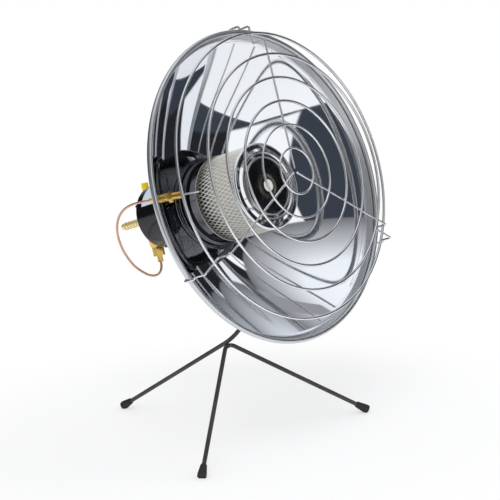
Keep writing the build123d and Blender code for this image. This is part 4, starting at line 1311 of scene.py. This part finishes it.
@dataclass
class GuardWelds:
    """The weld beads where the guard's spokes cross its rings."""

    flat_rings: tuple[float, ...] = (25.9, 52.8, 79.7, 106.6, 133.5)
    flat_level: float = 44.975
    outer_ring: float = 162.6
    outer_level: float = 26.475
    rise: float = 6.0
    spoke_angles: tuple[float, ...] = (86.1, -34.2, -152.9)
    bead_radius: float = 1.75
    bead_shape: Point = (1.0, 0.85, 0.62)
    bead_divisions: int = 3
    ripple: float = 0.05
    ripple_rates: tuple[float, float] = (3.1, 2.3)

    def bead(self) -> Piece:
        """One bead, a low drop that is a little uneven.

        Returns:
            The bead, at the origin.
        """
        bead = ball("bead", self.bead_divisions, self.bead_radius, self.bead_shape)
        across, along = self.ripple_rates
        for vertex in bead.data.vertices:
            side, high = vertex.co.x / MM, vertex.co.y / MM
            vertex.co *= 1.0 + self.ripple * math.sin(across * side) * math.cos(along * high)
        return bead

    def build(self, palette: Palette) -> None:
        """Model one bead and copy it to each crossing.

        Args:
            palette: The finishes.
        """
        first = self.bead()
        crossings = [(radius, self.flat_level) for radius in self.flat_rings]
        crossings.append((self.outer_ring, self.outer_level))
        beads = []
        for turn in map(math.radians, self.spoke_angles):
            for radius, level in crossings:
                right = radius * math.cos(turn)
                up = self.rise + radius * math.sin(turn)
                bead = linked("bead", first.data.copy())
                place(bead, HEAD.matrix(right, up, level) @ Matrix.Rotation(turn, 4, "Z"))
                beads.append(bead)
        bpy.data.objects.remove(first)
        welds = join(beads, "guard_welds")
        smooth(welds, ROUND_EDGE)
        palette.fit(welds, CHROME_WIRE)


@dataclass
class ThermocoupleLead:
    """The copper tube from the valve's nut round to the probe's holder."""

    diameter: float = 2.8
    resolution: int = 4
    knot_steps: int = 10
    order: int = 3
    nut_bottom: float = -49.0
    first_run: float = 8.2
    last_run: float = 12.5
    probe_radius: float = 73.2
    probe_angle: float = 165.8
    holder_rear: float = -26.0
    middle: tuple[Point, ...] = (
        (-12.0, -63.5, -202.5),
        (-21.0, -61.5, -206.5),
        (-29.5, -54.5, -208.5),
        (-39.5, -46.0, -208.0),
        (-48.5, -36.5, -204.5),
        (-57.5, -26.5, -199.5),
        (-66.0, -16.0, -192.5),
        (-74.0, -5.5, -184.0),
        (-80.5, 5.0, -173.5),
        (-85.0, 14.0, -161.0),
        (-87.5, 19.8, -147.0),
        (-87.8, 22.2, -132.5),
    )

    def route(self) -> list[Vector]:
        """The lead's control points, right, up and forward on the head.

        Returns:
            The points, from the valve's nut to the probe's holder.
        """
        down = -HEAD.valve_up()
        start = Vector((0.0, 0.0, HEAD.valve_place)) - down * self.nut_bottom
        angle = math.radians(self.probe_angle)
        slope = math.atan(self.probe_radius / (2 * HEAD.focal_length))
        out = Vector((math.cos(angle), math.sin(angle), 0.0))
        ahead = Vector((0.0, 0.0, 1.0))
        probe = out * self.probe_radius + ahead * HEAD.surface(self.probe_radius)
        way = ahead * math.cos(slope) - out * math.sin(slope)
        end = probe + way * self.holder_rear
        middle = [Vector(point) for point in self.middle]
        return [start, start + down * self.first_run, *middle, end - way * self.last_run, end]

    def build(self, palette: Palette) -> None:
        """Draw a round tube along a smooth line through the points of the route.

        Args:
            palette: The finishes.
        """
        curve = bpy.data.curves.new("copper_lead", "CURVE")
        curve.dimensions = "3D"
        curve.bevel_depth = self.diameter / 2 * MM
        curve.bevel_resolution = self.resolution
        curve.resolution_u = self.knot_steps
        curve.use_fill_caps = True
        points = self.route()
        spline = curve.splines.new("NURBS")
        spline.points.add(len(points) - 1)
        for knot, point in zip(spline.points, points):
            knot.co = (*HEAD.matrix(*point).translation, 1.0)
        spline.order_u = self.order
        spline.use_endpoint_u = True
        pick(linked("copper_lead", curve))
        bpy.ops.object.convert(target="MESH")
        lead = bpy.context.object
        smooth(lead, WIRE_EDGE)
        palette.fit(lead, ANNEALED_COPPER, "thermocouple_lead")


@dataclass
class ButtonSpring:
    """The coil inside the bonnet, which closes up as the button goes in."""

    wire: float = 0.35
    wire_sides: int = 10
    radius: float = 3.7
    turns: int = 5
    turn_steps: int = 28
    foot: float = 11.65
    height: float = 12.4
    kept: float = 0.61

    def build(self, palette: Palette) -> None:
        """Model the coil upright, turn it with the valve and give it a mesh of its own.

        Args:
            palette: The finishes.
        """
        deselect()
        bpy.ops.mesh.primitive_circle_add(
            vertices=self.wire_sides,
            radius=self.wire * MM,
            location=(self.radius * MM, 0.0, self.foot * MM),
            rotation=(math.pi / 2, 0.0, 0.0),
        )
        spring = named("button_coil")
        bpy.ops.object.transform_apply(location=True, rotation=True, scale=True)
        apply_modifier(
            spring,
            "SCREW",
            steps=self.turn_steps,
            render_steps=self.turn_steps,
            iterations=self.turns,
            screw_offset=self.height / self.turns * MM,
        )
        edit()
        bpy.ops.mesh.fill_holes(sides=0)
        leave_edit()
        recalculate(spring)
        up = HEAD.valve_up()
        base = HEAD.matrix(forward=HEAD.valve_place).translation
        above = HEAD.matrix(up.x, up.y, HEAD.valve_place).translation
        rise = (above - base).normalized()
        upright = rise.to_track_quat("Z", "Y").to_matrix().to_4x4()
        settle(spring, WIRE_EDGE, Matrix.Translation(base) @ upright)
        palette.fit(spring, PLATED_STEEL, "button_spring")
        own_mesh(spring)


@dataclass
class StandWeld:
    """The weld that holds the bent front legs under the stand rod."""

    shape: Point = (4.0, 5.2, 2.3)
    divisions: int = 4
    slope: float = 30.03
    sink: float = 3.0
    back: float = 2.6
    ripple: float = 0.06
    ripple_rate: float = 2.6
    ripple_shift: float = 1.0

    def build(self, palette: Palette) -> None:
        """Model an uneven seam and set it where the legs meet the rod.

        Args:
            palette: The finishes.
        """
        seam = ball("stand_weld", self.divisions, 1.0, self.shape)
        for vertex in seam.data.vertices:
            run = self.ripple_rate * vertex.co.y / MM
            vertex.co.x *= 1.0 + self.ripple * math.sin(run)
            vertex.co.z *= 1.0 + self.ripple * math.sin(run + self.ripple_shift)
        high = Vector(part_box("front_left_leg")[1])
        spot = Vector((0.0, high.y - self.back * MM, high.z - self.sink * MM))
        turn = Matrix.Rotation(math.radians(-self.slope), 4, "X")
        settle(seam, ROUND_EDGE, Matrix.Translation(spot) @ turn)
        palette.fit(seam, ROD_ENAMEL, body=Body.STAND)


# The studio


class Tone(Enum):
    """How bright each side of the studio looks in chrome."""

    WHITE = (1.05, 1.06, 1.08)
    PALE = (0.33, 0.34, 0.36)
    DIM = (0.085, 0.09, 0.10)
    NAVY = (0.046, 0.056, 0.074)
    BLACK = (0.020, 0.021, 0.024)


class Sky(Wiring):
    """The wiring of the world, which mixes tones over the direction of a ray."""

    def step(self, angle: Socket, level: float, soft: float = 0.8) -> Socket:
        """One above an angle and zero below it, with an edge that is soft to each side."""
        return self.span(angle, level - soft, level + soft, soft=True)

    def band(self, angle: Socket, start: float, end: float) -> Socket:
        """One between two angles and zero outside them."""
        return self.math("SUBTRACT", self.step(angle, start), self.step(angle, end))

    def blend(self, share: Socket, low: Socket | Tone, high: Socket | Tone) -> Socket:
        """Mix two colours, each a socket or a tone, by a share.

        Args:
            share: How much of the second.
            low: The first colour.
            high: The second.

        Returns:
            The mixed colour's socket.
        """
        first, second = [
            (*side.value, 1.0) if isinstance(side, Tone) else side for side in (low, high)
        ]
        inputs = {"Factor": share, "A": first, "B": second}
        return self.add("ShaderNodeMix", inputs, data_type="RGBA").outputs["Result"]

    def light(self, colour: Socket | Colour, strength: float = 1.0) -> Socket:
        """Light of one colour from all round, or of the colour that a socket gives.

        Args:
            colour: The colour or its socket.
            strength: How bright it is.

        Returns:
            The light's socket.
        """
        tint = colour if isinstance(colour, Socket) else (*colour, 1.0)
        inputs = {"Color": tint, "Strength": strength}
        return self.add("ShaderNodeBackground", inputs).outputs["Background"]


@dataclass
class Surroundings:
    """The room round the set, which only bright metal and gloss show."""

    first_wall: Tone = Tone.BLACK
    walls: tuple[tuple[float, Tone, float], ...] = (
        (-118.0, Tone.DIM, 14.0),
        (-90.0, Tone.PALE, 10.0),
        (-62.0, Tone.DIM, 0.8),
        (-46.0, Tone.NAVY, 0.8),
        (-20.0, Tone.WHITE, 0.8),
        (21.0, Tone.BLACK, 0.8),
        (62.0, Tone.WHITE, 0.8),
        (70.0, Tone.BLACK, 0.8),
        (78.0, Tone.DIM, 0.8),
        (128.0, Tone.WHITE, 3.0),
        (149.0, Tone.PALE, 5.0),
        (168.0, Tone.BLACK, 8.0),
    )
    ceiling: tuple[tuple[float, float], ...] = (
        (45.0, 0.22),
        (51.0, 0.40),
        (58.0, 0.58),
        (64.0, 0.80),
        (69.0, 1.02),
        (90.0, 1.12),
    )
    ceiling_tint: Colour = (0.955, 0.985, 1.03)
    wall_top: float = 44.0
    wall_foot: float = -21.0
    screen: Limits = (83.0, 93.0)
    screen_top: float = 66.0
    soft_light: float = 0.80
    soft_tint: Colour = (0.97, 0.985, 1.0)
    backdrop: Colour = (1.0, 1.0, 1.0)

    def room(self, sky: Sky) -> Socket:
        """The room's colour in each direction.

        Args:
            sky: The world's wiring.

        Returns:
            The colour socket.
        """
        ray = {"Vector": sky.coordinates.outputs["Generated"]}
        axes = sky.add("ShaderNodeSeparateXYZ", ray).outputs
        height = sky.math("DEGREES", sky.math("ARCSINE", axes["Z"]))
        front = sky.math("MULTIPLY", axes["Y"], -1.0)
        heading = sky.math("DEGREES", sky.math("ARCTAN2", axes["X"], front))
        colour: Socket | Tone = self.first_wall
        for angle, tone, soft in self.walls:
            colour = sky.blend(sky.step(heading, angle, soft), colour, tone)
        low, high = self.ceiling[0][0], self.ceiling[-1][0]
        stops = [
            ((angle - low) / (high - low), [value * tint for tint in self.ceiling_tint])
            for angle, value in self.ceiling
        ]
        overhead = sky.ramp(sky.span(height, low, high), stops)
        colour = sky.blend(sky.step(height, self.wall_top), colour, overhead)
        above = sky.band(height, self.wall_top, self.screen_top)
        screen = sky.math("MULTIPLY", sky.band(heading, *self.screen), above)
        colour = sky.blend(screen, colour, Tone.PALE)
        return sky.blend(sky.step(height, self.wall_foot), Tone.NAVY, colour)

    def build(self) -> None:
        """Make the world: white for the camera, soft for matt faces, the room for bright ones."""
        world = bpy.data.worlds.new("studio")
        bpy.context.scene.world = world
        world.use_nodes = True
        sky = Sky(world.node_tree)
        room = sky.light(self.room(sky))
        soft = sky.light(self.soft_tint, self.soft_light)
        ray = sky.add("ShaderNodeLightPath").outputs
        bright = sky.math("MAXIMUM", ray["Is Glossy Ray"], ray["Is Transmission Ray"])
        lit = sky.mixed(bright, soft, room)
        seen = sky.mixed(ray["Is Camera Ray"], lit, sky.light(self.backdrop))
        sky.add("ShaderNodeOutputWorld", {"Surface": seen})


@dataclass
class Studio:
    """A pale table, soft lamps and the camera at the photograph's viewpoint. Sizes in metres."""

    camera_place: Point = (-1.5474, -1.4817, 0.6676)
    azimuth: float = -47.36
    elevation: float = 11.90
    roll: float = -3.35
    focal_pixels: float = 1881.0
    frame_pixels: float = 500.0
    sensor: float = 36.0  # millimetres
    table_reach: float = 3.0
    table_sides: int = 96
    table_edges: tuple[tuple[float, float], ...] = ((49.4, 0.685), (3.6, 0.886))
    table_colour: Colour = (0.93, 0.93, 0.935)
    table_roughness: float = 0.9
    table_specular: float = 0.1
    fade: Limits = (0.24, 0.46)
    glow: float = 0.5
    aim: Point = (0.0, -0.05, 0.28)
    lamps: tuple[tuple[str, Point, float, float], ...] = (
        ("key", (-1.6, -1.2, 2.2), 1.6, 26.0),
        ("fill", (1.8, -1.6, 1.4), 1.8, 12.0),
    )

    def camera(self) -> None:
        """Add the camera at the photograph's viewpoint."""
        azimuth, elevation, roll = map(math.radians, (self.azimuth, self.elevation, self.roll))
        across = Vector((math.cos(azimuth), math.sin(azimuth), 0.0))
        flat = math.cos(elevation)
        back = Vector((math.sin(azimuth) * flat, -math.cos(azimuth) * flat, math.sin(elevation)))
        rise = back.cross(across)
        right = across * math.cos(roll) + rise * math.sin(roll)
        up = rise * math.cos(roll) - across * math.sin(roll)
        lens = bpy.data.cameras.new("camera")
        lens.sensor_width = self.sensor
        lens.lens = self.sensor * self.focal_pixels / self.frame_pixels
        eye = linked("camera", lens)
        matrix = Matrix((right, up, back)).transposed().to_4x4()
        matrix.translation = Vector(self.camera_place)
        eye.matrix_world = matrix
        bpy.context.scene.camera = eye

    def table_finish(self) -> Material:
        """A matt white that the camera sees fade to the white of the background.

        Returns:
            The material.
        """
        colour = (*self.table_colour, 1.0)
        nodes = Nodes("studio_table", Base_Color=colour, Roughness=self.table_roughness)
        nodes.set(Specular_IOR_Level=self.table_specular)
        away = nodes.vector_math("LENGTH", nodes.position)
        fade = nodes.span(away, *self.fade, self.glow, soft=True)
        ray = nodes.add("ShaderNodeLightPath").outputs
        seen = nodes.math("MULTIPLY", fade, ray["Is Camera Ray"])
        glow = nodes.add("ShaderNodeEmission").outputs["Emission"]
        surface = nodes.mixed(seen, nodes.shader.outputs["BSDF"], glow)
        nodes.put(surface, nodes.output.inputs["Surface"])
        return nodes.material

    def table(self) -> None:
        """Add the table top, cut off where the photograph's background begins."""
        deselect()
        bpy.ops.mesh.primitive_circle_add(
            vertices=self.table_sides, radius=self.table_reach, fill_type="NGON"
        )
        table = named("studio_table")
        edit()
        for heading, distance in self.table_edges:
            turn = math.radians(heading)
            facing = Vector((math.sin(turn), -math.cos(turn), 0.0))
            bpy.ops.mesh.select_all(action="SELECT")
            bpy.ops.mesh.bisect(plane_co=facing * distance, plane_no=facing, clear_outer=True)
        leave_edit()
        table.data.materials.append(self.table_finish())

    def lamp(self, name: str, position: Point, size: float, power: float) -> None:
        """Add a square soft lamp that faces the heater.

        Args:
            name: The lamp's name.
            position: Where it hangs.
            size: Its side.
            power: Its power in watts.
        """
        light = bpy.data.lights.new(name, "AREA")
        light.size = size
        light.energy = power
        holder = linked(name, light)
        holder.location = position
        way = Vector(self.aim) - Vector(position)
        holder.rotation_euler = way.to_track_quat("-Z", "Y").to_euler()
        holder.visible_glossy = False

    def build(self) -> None:
        """Set up the camera, table, surroundings and lamps."""
        bpy.context.scene.view_settings.view_transform = "Standard"
        self.camera()
        self.table()
        Surroundings().build()
        for lamp in self.lamps:
            self.lamp(*lamp)
        LOG.info("studio ready")


def main() -> None:
    """Build the heater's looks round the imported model."""
    logging.basicConfig(level=logging.INFO, format="%(name)s: %(message)s")
    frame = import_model()
    palette = Palette(frame["nodes"])
    for finish, names in FINISHED_NODES:
        palette.dress_nodes(finish, names)
    Studio().build()
    Reflector().build(palette)
    BurnerSleeve().build(palette)
    BurnerCap().build(palette)
    GuardWelds().build(palette)
    ThermocoupleLead().build(palette)
    ButtonSpring().build(palette)
    StandWeld().build(palette)


if __name__ == "__main__":
    main()
